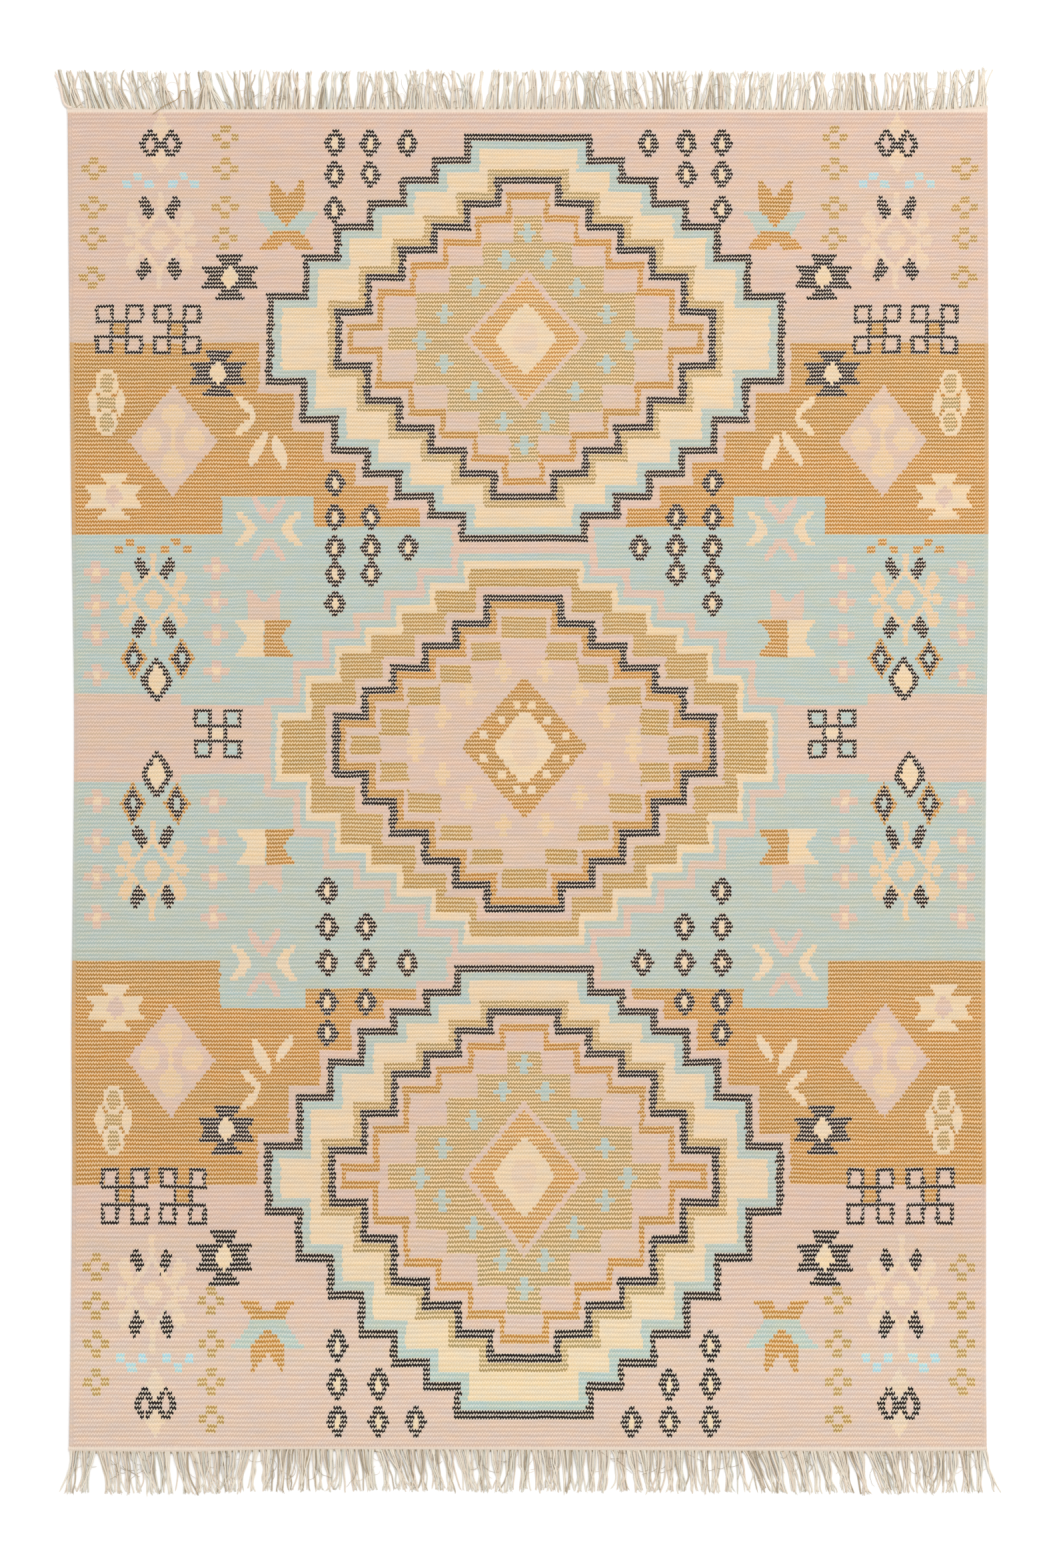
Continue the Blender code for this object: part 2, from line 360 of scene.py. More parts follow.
MOTIFS = {
    "small_ring": tiers(CREAM, -1, (0, 2), (0, 2.6), (0, 2)) + ring(BLACK, 0, SMALL_RING),
    "ring_pair": diamond(PALE, 14, 7) + tiers(PINK, -2, *[(4, 12)] * 5) + ring(BLACK, 7.5, PAIR_RING),
    "straw_cross": tiers(STRAW, -3, *[(0, 3.4)] * 2, *[(3.4, 9.3)] * 2, *[(0, 3.4)] * 2),
    "sky_blocks": blocks(ICE),
    "sky_blocks_down": flipped(blocks(ICE)),
    "mustard_blocks": blocks(MUSTARD),
    "leaves_in": tiers(BLACK, -2, *LEAVES_IN),
    "leaves_out": tiers(BLACK, -3, *LEAVES_OUT),
    "pale_flower": flower(PALE, True),
    "cream_flower": flower(ROSE, True),
    "black_star": star(BLACK, CREAM),
    "cream_star": star(CREAM, PINK),
    "tulip": TULIP,
    "box_cross": box_cross(PINK, MUSTARD),
    "sky_box_cross": box_cross(SKY, CREAM),
    "rosette": ROSETTE,
    "pink_diamond": diamond(PINK, 31.5, 14) + POSY,
    "snowflake": SNOWFLAKE,
    "pink_cross": cross(PINK, CREAM),
    "mustard_ring": (
        diamond(MUSTARD, 9.5, 5) + diamond(BLACK, 6.8, 4) + tiers(SKY, -1, (0, 1.5), (0, 2.5), (0, 1.5))
    ),
    "large_ring": diamond(CREAM, 9, 5) + ring(BLACK, 0, LARGE_RING),
    "foot_tulip": FOOT_TULIP,
}

PLACES = (
    Place("ring_pair", 262.4, 263.1, 8.8),
    Place("sky_blocks", 262.5, 263.0, 18.9),
    Place("leaves_in", 262.8, 263.0, 24.6),
    Place("pale_flower", 262.3, 263.0, 33.4),
    Place("leaves_out", 262.3, 263.0, 41.3),
    Place("black_star", 211.9, 211.7, 43.5),
    Place("black_star", 219.0, 219.1, 68.3),
    Place("tulip", 172.0, 176.4, 27.2),
    Place("box_cross", 290.0, 291.8, 56.8),
    Place("box_cross", 248.9, 250.9, 56.8),
    Place("rosette", 298.3, 304.1, 75.5),
    Place("pink_diamond", 250.6, 255.9, 85.7),
    Place("cream_star", 292.9, 300.0, 100.8),
    Place("snowflake", 181.9, 183.3, 108.9),
    Place("mustard_blocks", 264.5, 272.5, 113.0),
    Place("leaves_in", 263.5, 272.5, 118.1),
    Place("cream_flower", 264.4, 272.4, 127.1),
    Place("leaves_out", 263.5, 272.5, 135.5),
    Place("mustard_ring", 278.8, 288.9, 143.4),
    Place("mustard_ring", 244.5, 254.6, 143.4),
    Place("large_ring", 262.2, 270.9, 149.4),
    Place("sky_box_cross", 219.0, 219.6, 163.8),
    Place("large_ring", 262.3, 275.0, 174.9),
    Place("mustard_ring", 279.4, 288.9, 181.7),
    Place("mustard_ring", 248.0, 256.7, 181.7),
    Place("leaves_in", 265.0, 272.2, 189.4),
    Place("cream_flower", 265.5, 272.5, 198.0),
    Place("leaves_out", 265.0, 272.2, 205.9),
    Place("snowflake", 185.9, 186.7, 221.6),
    Place("cream_star", 291.4, 299.4, 233.8),
    Place("pink_diamond", 252.0, 257.5, 246.7),
    Place("rosette", 293.0, 299.5, 261.2),
    Place("black_star", 212.5, 213.2, 264.7),
    Place("black_star", 213.9, 214.9, 293.2),
    Place("box_cross", 284.9, 290.0, 279.8),
    Place("box_cross", 243.4, 247.2, 279.8),
    Place("leaves_in", 266.0, 269.3, 293.7),
    Place("pale_flower", 265.3, 269.6, 300.4),
    Place("leaves_out", 266.0, 269.3, 307.6),
    Place("sky_blocks_down", 263.5, 268.6, 314.2),
    Place("ring_pair", 263.0, 268.0, 323.7),
)

# Columns of like motifs: the motif, its middle on each half of the rug, and its rows
Column = namedtuple("Column", "motif left right rows")
COLUMNS = (
    Column("straw_cross", 310.0, 311.8, (15.6, 25.0, 33.6, 43.6)),
    Column("straw_cross", 216.3, 218.5, (7.5, 15.7, 25.0, 33.2)),
    Column("pink_cross", 305.3, 312.9, (120.0, 129.0, 137.8, 148.0)),
    Column("pink_cross", 219.6, 227.6, (119.9, 128.9, 137.1, 147.7)),
    Column("pink_cross", 305.0, 312.7, (181.2, 191.6, 200.7, 210.7)),
    Column("pink_cross", 221.7, 228.6, (181.0, 191.6, 200.7, 210.7)),
    Column("straw_cross", 305.3, 312.8, (295.7, 303.2, 311.2, 319.2)),
    Column("straw_cross", 222.9, 224.2, (302.7, 311.0, 319.3, 327.3)),
    Column("small_ring", 138.3, 138.1, (8.5, 16.8, 25.2)),
    Column("small_ring", 112.9, 112.8, (8.5, 16.8)),
    Column("small_ring", 86.2, 85.7, (8.5,)),
    Column("small_ring", 134.7, 134.9, (96.5, 105.2, 113.0, 120.9, 128.8)),
    Column("small_ring", 109.0, 109.0, (105.2, 113.0, 120.9)),
    Column("small_ring", 82.4, 82.9, (113.0,)),
    Column("small_ring", 140.3, 141.1, (203.9, 212.8, 221.8, 231.2, 239.4)),
    Column("small_ring", 112.7, 114.3, (212.8, 221.8, 231.2)),
    Column("small_ring", 83.3, 84.5, (221.8,)),
    Column("small_ring", 133.0, 133.1, (311.9, 319.1, 327.1)),
    Column("small_ring", 103.8, 103.8, (319.1, 327.1)),
    Column("small_ring", 77.2, 77.0, (327.1,)),
    Column("foot_tulip", 182.9, 183.8, (309,)),
)

# Slanted cream leaves on mustard, by side of the rug: their middle and row, their slant for each row,
# their half width and their rise
Leaf = namedtuple("Leaf", "side middle row slant half rise")
LEAVES = (
    Leaf(-1, 198.4, 76.7, -2.3, 4.1, 2),
    Leaf(1, 200.5, 76.6, -2.3, 4.1, 2),
    Leaf(-1, 198.7, 81.9, 2.3, 4.3, 2),
    Leaf(1, 199.9, 81.9, 2.3, 4.3, 2),
    Leaf(-1, 190.0, 87.0, 1.15, 4.4, 4),
    Leaf(1, 191.3, 87.0, 1.45, 4.2, 4),
    Leaf(-1, 174.4, 88.5, -0.85, 4.7, 4),
    Leaf(1, 176.4, 88.2, -1.0, 4.6, 4),
    Leaf(-1, 171.0, 243.6, 1.5, 3.9, 3),
    Leaf(1, 172.1, 243.5, 1.3, 3.9, 3),
    Leaf(-1, 187.2, 245.6, -1.2, 5.2, 4),
    Leaf(1, 187.7, 245.6, -1.3, 4.8, 4),
    Leaf(-1, 194.3, 251.8, -2.4, 4.0, 2),
    Leaf(1, 195.1, 251.4, -2.4, 4.6, 2),
    Leaf(-1, 194.9, 256.2, 2.3, 4.0, 2),
    Leaf(1, 195.1, 255.9, 2.5, 4.3, 2),
)

# The broad bands of the cloth: a yarn between two rows and between two distances from the middle line
Band = namedtuple("Band", "yarn top bottom start stop")
BANDS = (
    Band(MUSTARD, 59.5, 110, 0, CHART_HALF),
    Band(SKY, 110, 153, 0, CHART_HALF),
    Band(SKY, 108, 156, 0, 151),
    Band(SKY, 99.5, 156, 150, 215),
    Band(SKY, 153, 155.5, 185, 245),
    Band(PINK, 153, 176, 245, CHART_HALF),
    Band(PINK, 155.5, 174, 0, 245),
    Band(SKY, 176, 221.2, 0, CHART_HALF),
    Band(SKY, 174, 221.2, 0, 245),
    Band(MUSTARD, 221.2, 277.4, 0, CHART_HALF),
    Band(SKY, 221.2, 233.4, 0, 217),
    Band(MUSTARD, 227.6, 240, 0, 156),
)

# How far the upright edges of the medallions and of small motifs wander, in warps
UPRIGHT_LOOSE = 0.75
MOTIF_LOOSE = 0.6


class Chart:
    """The woven pattern as one yarn for each warp of each weft row."""

    def __init__(self, seed):
        self.cells = np.full((WEFT_ROWS, 2 * CHART_HALF), PINK, np.int8)
        self.draw = random.Random(seed)

    def lay(self, yarn, row, side, start, stop, loose=MOTIF_LOOSE):
        """Lays yarn on one row of one half of the rug, from start to stop warps from the middle line."""
        if not 0 <= row < WEFT_ROWS or stop <= start:
            return
        first = round(start + self.draw.uniform(-loose, loose))
        last = min(round(stop + self.draw.uniform(-loose, loose)), CHART_HALF)
        if start <= 0:
            first = round(start)
        if side > 0:
            self.cells[row, CHART_HALF + first : CHART_HALF + last] = yarn
        else:
            self.cells[row, CHART_HALF - last : CHART_HALF - first] = yarn

    def band(self, band):
        """Fills a band on both halves of the rug."""
        for row in range(round(band.top), round(band.bottom)):
            for side in (-1, 1):
                self.lay(band.yarn, row, side, band.start, band.stop)

    def terraces(self, yarn, centre, steps, inset=0, trim=0):
        """Fills a stepped medallion: each step keeps its width so far above and below the centre."""
        for row in range(WEFT_ROWS):
            away = row + 0.5 - centre
            kept = [step.width for step in steps if trim - step.above <= away <= step.below - trim]
            reach = max(kept, default=inset) - inset
            for side in (-1, 1):
                self.lay(yarn, row, side, 0, reach, UPRIGHT_LOOSE)

    def rhomb(self, yarn, centre, half, rise, power=1.0):
        """Fills a diamond in the middle of the rug."""
        for row in range(round(centre - rise), round(centre + rise)):
            part = 1 - abs(row + 0.5 - centre) / rise
            for side in (-1, 1):
                self.lay(yarn, row, side, 0, half * max(part, 0) ** power)

    def motif(self, stitches, side, middle, row):
        """Works a motif in one half of the rug, mirrored about its own middle."""
        for stitch in stitches:
            place = math.floor(row) + stitch.row
            if stitch.start <= 0:
                self.lay(stitch.yarn, place, side, middle - stitch.stop, middle + stitch.stop)
                continue
            self.lay(stitch.yarn, place, side, middle + stitch.start, middle + stitch.stop)
            self.lay(stitch.yarn, place, side, middle - stitch.stop, middle - stitch.start)

    def mirrored(self, stitches, centre, marks, lower=1):
        """Works a small motif at each mark above and below a centre, on both halves of the rug."""
        for across, along in marks:
            for flip in (-1, lower):
                for side in (-1, 1):
                    self.motif(stitches, side, across, centre + flip * along)

    def leaf(self, yarn, side, middle, row, slant, half, rise):
        """Works one slanted leaf."""
        for step in range(-rise, rise + 1):
            place = middle + slant * step
            wide = half * (1 - (abs(step) / (rise + 1)) ** 2)
            self.lay(yarn, math.floor(row) + step, side, place - wide, place + wide)


# The stepped outlines of the medallions, in warps from the middle line and rows above and below their centre
Step = namedtuple("Step", "width above below")


def even_steps(*steps):
    """The steps of an outline that rises as far above its centre as below it."""
    return [Step(width, rise, rise) for width, rise in steps]


HEAD_OUTER = even_steps((46, 53), (69, 47), (92, 42), (115, 36), (138, 30), (160, 22), (185, 12))
HEAD_INNER = even_steps((24, 42), (46, 36), (69, 30), (92, 24), (115, 17), (136, 8))
HEAD_CORE = even_steps((10, 32), (32, 25), (55, 19), (78, 12), (98, 3))
FOOT_OUTER = (
    Step(50, 52.6, 51.7),
    Step(72, 47, 46.3),
    Step(95, 42, 40.6),
    Step(118.5, 36.5, 35),
    Step(140.5, 29, 27.4),
    Step(163, 19.6, 18.5),
    Step(185, 7.6, 9.2),
)
FOOT_INNER = (
    Step(26.5, 42, 39.6),
    Step(49, 37, 35),
    Step(72, 31.4, 29.4),
    Step(95, 25.5, 23.5),
    Step(116.5, 16, 15),
    Step(139.5, 6.5, 6.6),
)
FOOT_CORE = (
    Step(12, 31, 29.5),
    Step(33, 25, 23.5),
    Step(55, 18.5, 17),
    Step(77, 12, 11.6),
    Step(97, 2.6, 3),
)
MID_OUTER = even_steps((52, 54), (76, 48), (100, 42), (122, 36), (144, 31), (165, 23), (186, 13))
MID_INNER = (
    Step(29, 41, 41.5),
    Step(51, 34, 35.5),
    Step(73, 28, 30),
    Step(96, 22, 23),
    Step(116, 16, 15),
    Step(137, 9, 7.5),
)
MID_CORE = (
    Step(16, 29, 30.5),
    Step(38, 23, 25.5),
    Step(60, 17, 19.5),
    Step(83, 11, 11.6),
    Step(103, 3, 3.5),
)
HEAD_CENTRE = 59
MID_CENTRE = 167
FOOT_CENTRE = 275

# Small marks in the medallions: their distance from the middle line, and from the centre along the rug
CORE_CROSSES = ((0, 27.3), (15, 21), (36, 13.3), (58, 6.2), (74, 0))
MID_CROSSES = ((15, 20), (39.5, 13.6), (58.6, 7.2), (77.6, 1.3))
MID_SPECKLES = ((5.2, 10.6), (16.1, 7), (29.4, 2.6))

# The tulip between two medallions: half the width of each row of its cup, and the spans of its crown
TULIP_UPPER = (20.5, 18.5, 16, 14, 13)
TULIP_LOWER = (13, 14, 16.5, 19, 20.5)
TULIP_CROWN = ((8, 11.6), (5, 11.6), (2.5, 11.6), *[(0, 11.6)] * 5)


def chart_end_medallion(chart, centre, outer, inner, core, lower):
    """A medallion towards one end of the rug: its crosses below the centre lie closer by the factor lower."""
    chart.terraces(BLACK, centre, outer)
    chart.terraces(SKY, centre, outer, 5, 2)
    chart.terraces(CREAM, centre, outer, 11, 4)
    chart.terraces(KHAKI, centre, inner, -5, -2)
    chart.terraces(BLACK, centre, inner)
    chart.terraces(PINK, centre, inner, 5, 2)
    chart.terraces(MUSTARD, centre, inner, 9, 4)
    chart.terraces(PINK, centre, inner, 13, 6)
    chart.terraces(KHAKI, centre, core)
    small_cross = tiers(SKY, -2, *[(0, 2.5)] * 5) + tiers(SKY, 0, (0, 6.5))
    chart.mirrored(small_cross, centre, CORE_CROSSES, lower)
    chart.rhomb(PINK, centre, 45, 18)
    chart.rhomb(ORANGE, centre, 40, 16)
    chart.rhomb(CREAM, centre, 22, 9, 0.75)
    chart.rhomb(PALE, centre, 10, 4.5, 0.4)


def chart_mid_medallion(chart, centre):
    """The medallion in the middle of the rug."""
    chart.terraces(PINK, centre, MID_OUTER)
    chart.terraces(SKY, centre, MID_OUTER, 5, 2)
    chart.terraces(CREAM, centre, MID_OUTER, 9, 4)
    chart.terraces(STRAW, centre, MID_OUTER, 13, 6)
    chart.terraces(PINK, centre, MID_INNER, -5, -2)
    chart.terraces(BLACK, centre, MID_INNER)
    chart.terraces(MUSTARD, centre, MID_INNER, 5, 2)
    chart.terraces(PINK, centre, MID_INNER, 9.5, 4)
    chart.terraces(STRAW, centre, MID_INNER, 13, 6)
    chart.terraces(PINK, centre, MID_CORE)
    small_cross = tiers(ROSE, -3, *[(0, 2.5)] * 6) + tiers(ROSE, -1, *[(0, 6)] * 2)
    chart.mirrored(small_cross, centre, MID_CROSSES)
    chart.rhomb(MUSTARD, centre, 45, 18.5)
    chart.mirrored(tiers(CREAM, -1, *[(0, 2.5)] * 2), centre + 0.5, MID_SPECKLES)
    chart.rhomb(CREAM, centre, 22, 9.5, 0.75)
    chart.rhomb(PALE, centre, 10, 5, 0.3)


def chart_double_tulip(chart, middles, top, flip, shorter):
    """The tulip between two medallions: mustard towards the middle of the rug, and cream outside it."""
    flared = TULIP_UPPER[: len(TULIP_UPPER) - shorter] + TULIP_LOWER
    crown = TULIP_CROWN[: len(TULIP_CROWN) - shorter]
    for side, middle in zip((-1, 1), middles):
        rows = [math.floor(top) + flip * step for step in range(len(crown))]
        for row, (inner, outer) in zip(rows, crown):
            chart.motif([Stitch(PINK, 0, inner, outer)], side, middle, row)
        for step, half in enumerate(flared):
            row = math.floor(top) + flip * (len(crown) + step)
            chart.lay(MUSTARD, row, side, middle - half, middle)
            chart.lay(CREAM, row, side, middle, middle + half)


def make_chart():
    """The whole woven pattern, from its zones to its smallest motifs."""
    chart = Chart(CHART_SEED)
    for band in BANDS:
        chart.band(band)
    chart.terraces(PINK, HEAD_CENTRE, HEAD_OUTER, -5, -2)
    chart_end_medallion(chart, HEAD_CENTRE, HEAD_OUTER, HEAD_INNER, HEAD_CORE, 1.0)
    chart.terraces(PINK, FOOT_CENTRE, FOOT_OUTER, -5, -2)
    chart_end_medallion(chart, FOOT_CENTRE, FOOT_OUTER, FOOT_INNER, FOOT_CORE, 0.88)
    chart_mid_medallion(chart, MID_CENTRE)
    places = list(PLACES)
    for column in COLUMNS:
        places += [Place(column.motif, column.left, column.right, row) for row in column.rows]
    for place in places:
        for side, middle in ((-1, place.left), (1, place.right)):
            chart.motif(MOTIFS[place.motif], side, middle, place.row)
    for leaf in LEAVES:
        chart.leaf(CREAM, *leaf)
    chart_double_tulip(chart, (185.6, 188.2), 125.4, 1, 0)
    chart_double_tulip(chart, (184.6, 188.6), 203.6, -1, 1)
    chart.cells[:HEADING_ROWS] = HEADING
    chart.cells[-HEADING_ROWS:] = HEADING
    return chart.cells


def to_linear(colour):
    """Scene-linear values of a display colour."""
    return np.array([part / 12.92 if part <= 0.04045 else ((part + 0.055) / 1.055) ** 2.4 for part in colour])


def wave(x, y, seed, count=7, shortest=0.05, longest=0.28):
    """A gentle waviness between -1 and 1 over the plane, the same each run."""
    draw = random.Random(seed)
    total = np.zeros(np.broadcast(x, y).shape)
    for _ in range(count):
        across = math.tau / draw.uniform(shortest, longest)
        along = math.tau / draw.uniform(shortest * 2, longest * 2) * draw.choice((-1, 1))
        total += np.sin(x * across + y * along + draw.uniform(0, math.tau))
    return total / count**0.5 / 1.4


# Node graphs


class Graph:
    """Adds linked nodes to a material."""

    def __init__(self, name):
        self.material = bpy.data.materials.new(name)
        self.material.use_nodes = True
        self.tree = self.material.node_tree
        self.shader = self.tree.nodes["Principled BSDF"]

    def add(self, kind, inputs=(), **settings):
        """A node of this kind, its inputs given as numbers, colours or sockets to link."""
        node = self.tree.nodes.new(kind)
        for name, value in settings.items():
            setattr(node, name, value)
        for key, value in dict(inputs).items():
            if isinstance(value, bpy.types.NodeSocket):
                self.tree.links.new(value, node.inputs[key])
            else:
                node.inputs[key].default_value = value
        return node

    def math(self, operation, *values, clamp=False):
        """The result of one math node."""
        inputs = dict(enumerate(values))
        return self.add("ShaderNodeMath", inputs, operation=operation, use_clamp=clamp).outputs[0]

    def ramp(self, value, start, stop, low=0.0, high=1.0):
        """A smooth step from low to high as the value goes from start to stop."""
        inputs = {"Value": value, "From Min": start, "From Max": stop, "To Min": low, "To Max": high}
        node = self.add("ShaderNodeMapRange", inputs, interpolation_type="SMOOTHSTEP")
        return node.outputs["Result"]

    def noise(self, vector, scale, detail=2.0, rough=0.5):
        """A noise value about 0.5."""
        inputs = {"Vector": vector, "Scale": scale, "Detail": detail, "Roughness": rough}
        return self.add("ShaderNodeTexNoise", inputs).outputs["Fac"]

    def stretched(self, vector, across, along):
        """The vector scaled by these amounts along its first two axes."""
        inputs = {"Vector": vector, "Scale": (across, along, 1.0)}
        return self.add("ShaderNodeMapping", inputs).outputs["Vector"]

    def weave_points(self):
        """The coordinates that count warps and rows, or turns of a yarn."""
        return self.add("ShaderNodeUVMap", uv_map="Weave").outputs["UV"]

    def attribute(self, name):
        """The node of a colour that the mesh carries."""
        return self.add("ShaderNodeAttribute", attribute_name=name)

    def shaded(self, colour, value):
        """The colour made lighter or darker by a value."""
        inputs = {"Red": value, "Green": value, "Blue": value}
        grey = self.add("ShaderNodeCombineColor", inputs).outputs["Color"]
        return self.blend(1.0, colour, grey, "MULTIPLY")

    def blend(self, factor, first, second, mode="MIX"):
        """A mix of two colours."""
        node = self.add("ShaderNodeMix", data_type="RGBA", blend_type=mode)
        for socket, value in zip((node.inputs[0], node.inputs[6], node.inputs[7]), (factor, first, second)):
            if isinstance(value, bpy.types.NodeSocket):
                self.tree.links.new(value, socket)
            else:
                socket.default_value = value
        return node.outputs[2]

    def finish(self, colour, height, depth, roughness, sheen):
        """Links colour and bump to the shader and sets its constant values."""
        bump = self.add("ShaderNodeBump", {"Height": height, "Distance": depth, "Strength": 1.0})
        self.tree.links.new(colour, self.shader.inputs["Base Color"])
        self.tree.links.new(bump.outputs["Normal"], self.shader.inputs["Normal"])
        self.shader.inputs["Roughness"].default_value = roughness
        self.shader.inputs["Sheen Weight"].default_value = sheen
        self.shader.inputs["Sheen Roughness"].default_value = 0.6
        self.shader.inputs["Specular IOR Level"].default_value = 0.2
        return self.material


def make_weave_material(cloth):
    """Wool weft: each row is a coloured pick and a pale one, both in the zigzag that the warps give them."""
    graph = Graph("wool_weft_rows")
    uv = graph.weave_points()
    split = graph.add("ShaderNodeSeparateXYZ", {"Vector": uv})
    across, along = split.outputs["X"], split.outputs["Y"]

    # Rows drift a little, and each zigzag is uneven
    drift = graph.math("MULTIPLY_ADD", graph.noise(graph.stretched(uv, 0.12, 0.10), 1.0), 0.36, -0.18)
    uneven = graph.math("MULTIPLY_ADD", graph.noise(graph.stretched(uv, 1.3, 1.0), 1.0, 1.0), 0.30, -0.15)
    turn = graph.math("MULTIPLY", across, math.tau)
    swing = graph.math("SINE", turn)
    slope = graph.math("COSINE", turn)
    lift = graph.math("MULTIPLY", swing, cloth.zigzag)
    moved = graph.math("ADD", graph.math("ADD", along, drift), graph.math("ADD", uneven, lift))
    middle = graph.math("SUBTRACT", graph.math("FRACT", moved), 0.5)
    off = graph.math("ABSOLUTE", middle)
    yarn = graph.attribute("yarn")
    share = graph.math("MULTIPLY_ADD", yarn.outputs["Alpha"], 0.5, cloth.pick_share / 2)
    half = graph.math("MULTIPLY_ADD", slope, -cloth.bead, share)
    past = graph.math("SUBTRACT", off, half)
    ground = graph.ramp(past, -0.08, 0.08)

    # Light and dark fibres, drawn out along the pick
    fibre = graph.noise(graph.stretched(uv, 1.6, 9.0), 1.0, 3.0, 0.65)
    patchy = graph.noise(graph.stretched(uv, 0.05, 0.9), 1.0)
    patch_tone = graph.math("MULTIPLY_ADD", patchy, 0.16, -0.08)
    tone = graph.math("ADD", graph.math("MULTIPLY_ADD", fibre, 0.34, 0.83), patch_tone)

    # Painted shade: where two picks meet, and where a pick dives under a warp, the colour is darkened as if
    # shade fell there; the fibres' tone is multiplied in too
    seam = graph.ramp(graph.math("ABSOLUTE", past), 0.0, 0.10, 1.0 - cloth.painted_crease_shade, 1.0)
    dive_shade = graph.ramp(slope, 0.3, 1.0, 1.0, 1.0 - cloth.painted_crease_shade)
    shade = graph.math("MULTIPLY", graph.math("MULTIPLY", seam, dive_shade), tone)

    # Large blotches lean to warm or cool
    pale = graph.attribute("ground").outputs["Color"]
    blotch = graph.ramp(graph.noise(graph.stretched(uv, 0.16, 0.40), 1.0, 2.0), 0.3, 0.7)
    tint = graph.blend(blotch, (1.03, 1.0, 0.95, 1.0), (0.97, 1.0, 1.05, 1.0))
    woven = graph.blend(1.0, graph.blend(ground, yarn.outputs["Color"], pale), tint, "MULTIPLY")
    colour = graph.shaded(woven, shade)

    # Both picks are round, and the pale one lies lower
    fall = graph.math("POWER", graph.math("DIVIDE", off, half), 2.0)
    round_pick = graph.math("SUBTRACT", 1.0, fall, clamp=True)
    low_pick = graph.ramp(past, 0.0, 0.2, 0.0, 0.45)
    height = graph.math("ADD", graph.math("ADD", round_pick, low_pick), graph.math("MULTIPLY", fibre, 0.35))
    return graph.finish(colour, height, cloth.relief, 0.92, 0.03)


def make_cotton_material():
    """Plied cotton: slanting plies down each yarn, with painted shade in the grooves between them, in several
    shades of undyed cotton.
    """
    graph = Graph("cotton_warp_yarn")
    uv = graph.weave_points()
    split = graph.add("ShaderNodeSeparateXYZ", {"Vector": uv})
    turn = graph.math("ADD", split.outputs["X"], split.outputs["Y"])
    ply = graph.math("ABSOLUTE", graph.math("SINE", graph.math("MULTIPLY", turn, math.tau)))
    fibre = graph.noise(graph.stretched(uv, 3.0, 1.1), 2.0, 3.0, 0.6)
    tone = graph.math("MULTIPLY_ADD", fibre, 0.3, 0.85)
    # Painted shade: the groove between two plies is darkened to 0.86 of the yarn's colour
    value = graph.math("MULTIPLY", graph.ramp(ply, 0.0, 0.5, 0.86, 1.0), tone)
    colour = graph.shaded(graph.attribute("yarn").outputs["Color"], value)
    height = graph.math("ADD", ply, graph.math("MULTIPLY", fibre, 0.5))
    return graph.finish(colour, height, 0.0002, 0.9, 0.05)


# Meshes


class Sheetwork:
    """Collects vertices, faces, map points and colours for one mesh."""

    def __init__(self):
        self.points = []
        self.faces = []
        self.weave = []
        self.bake = []
        self.yarn = []
        self.ground = []

    def face(self, corners, weave, bake, yarn, ground):
        """One face from vertex numbers, with a map point for each corner and its two yarn colours."""
        self.faces.append(corners)
        self.weave.extend(weave)
        self.bake.extend(bake)
        self.yarn.append((yarn, len(corners)))
        self.ground.append((ground, len(corners)))

    def build(self, name, material):
        """The finished object, in the scene."""
        mesh = bpy.data.meshes.new(name)
        mesh.from_pydata(self.points, [], self.faces)
        for label, marks in (("OFBake", self.bake), ("Weave", self.weave)):
            layer = mesh.uv_layers.new(name=label)
            layer.data.foreach_set("uv", np.array(marks, np.float32).ravel())
        for label, rows in (("yarn", self.yarn), ("ground", self.ground)):
            colours = np.array([colour for colour, _ in rows], np.float32)
            counts = [count for _, count in rows]
            values = np.ones((sum(counts), 4), np.float32)
            values[:, : colours.shape[1]] = np.repeat(colours, counts, axis=0)
            attribute = mesh.color_attributes.new(label, "FLOAT_COLOR", "CORNER")
            attribute.data.foreach_set("color", values.ravel())
        mesh.materials.append(material)
        mesh.validate()
        mesh.update()
        obj = bpy.data.objects.new(name, mesh)
        bpy.context.scene.collection.objects.link(obj)
        return obj


def row_colours(colours, seed):
    """Each row's shade of every yarn and of the pale pick that goes with it, as dyed and spun by hand."""
    draw = random.Random(seed)
    table = np.zeros((WEFT_ROWS, len(YARN_NAMES), 2, 3))
    for number, name in enumerate(YARN_NAMES):
        main = to_linear(getattr(colours, name))
        other = to_linear(getattr(colours, name + "_turn"))
        pale = to_linear(getattr(colours, name + "_pale"))
        lean = 0.5
        for row in range(WEFT_ROWS):
            lean = min(max(lean + draw.uniform(-SHADE_STEP, SHADE_STEP), 0), 1)
            bright = 1 + draw.uniform(-ROW_SPREAD, ROW_SPREAD)
            fade = 1 + np.array(FOOT_FADE) * min(max((row - FADE_START) / FADE_ROWS, 0), 1)
            table[row, number, 0] = (main + (other - main) * lean) * bright * fade
            table[row, number, 1] = pale * (1 + draw.uniform(-PALE_SPREAD, PALE_SPREAD)) * fade
    return table


def line_columns(cells_above, cells_below, left, right):
    """Where the yarns change on the rows beside a line, in warps from the middle line."""
    breaks = set(range(-CHART_HALF + REGULAR_BREAK // 2, CHART_HALF, REGULAR_BREAK))
    for cells in (cells_above, cells_below):
        breaks.update((np.nonzero(np.diff(cells))[0] + 1 - CHART_HALF).tolist())
    return sorted(at for at in breaks if left + SELVEDGE_WARPS < at < right - SELVEDGE_WARPS)


# The rounded selvedges: the names of their points, how far in from each the second one lies, and the
# share of the cloth's height that the first two have
LEFT_KEYS = ("L0", "L1", "L2")
RIGHT_KEYS = ("R2", "R1", "R0")
SELVEDGE_TURN = 0.35
SELVEDGE_HEIGHTS = (0.28, 0.62)
# The rows wander no more this near to a heading
STRAIGHT_END = 0.03
# How much of a row's two picks a selvedge stitch shows
TURN_MAIN = 0.4
TURN_PALE = 0.55


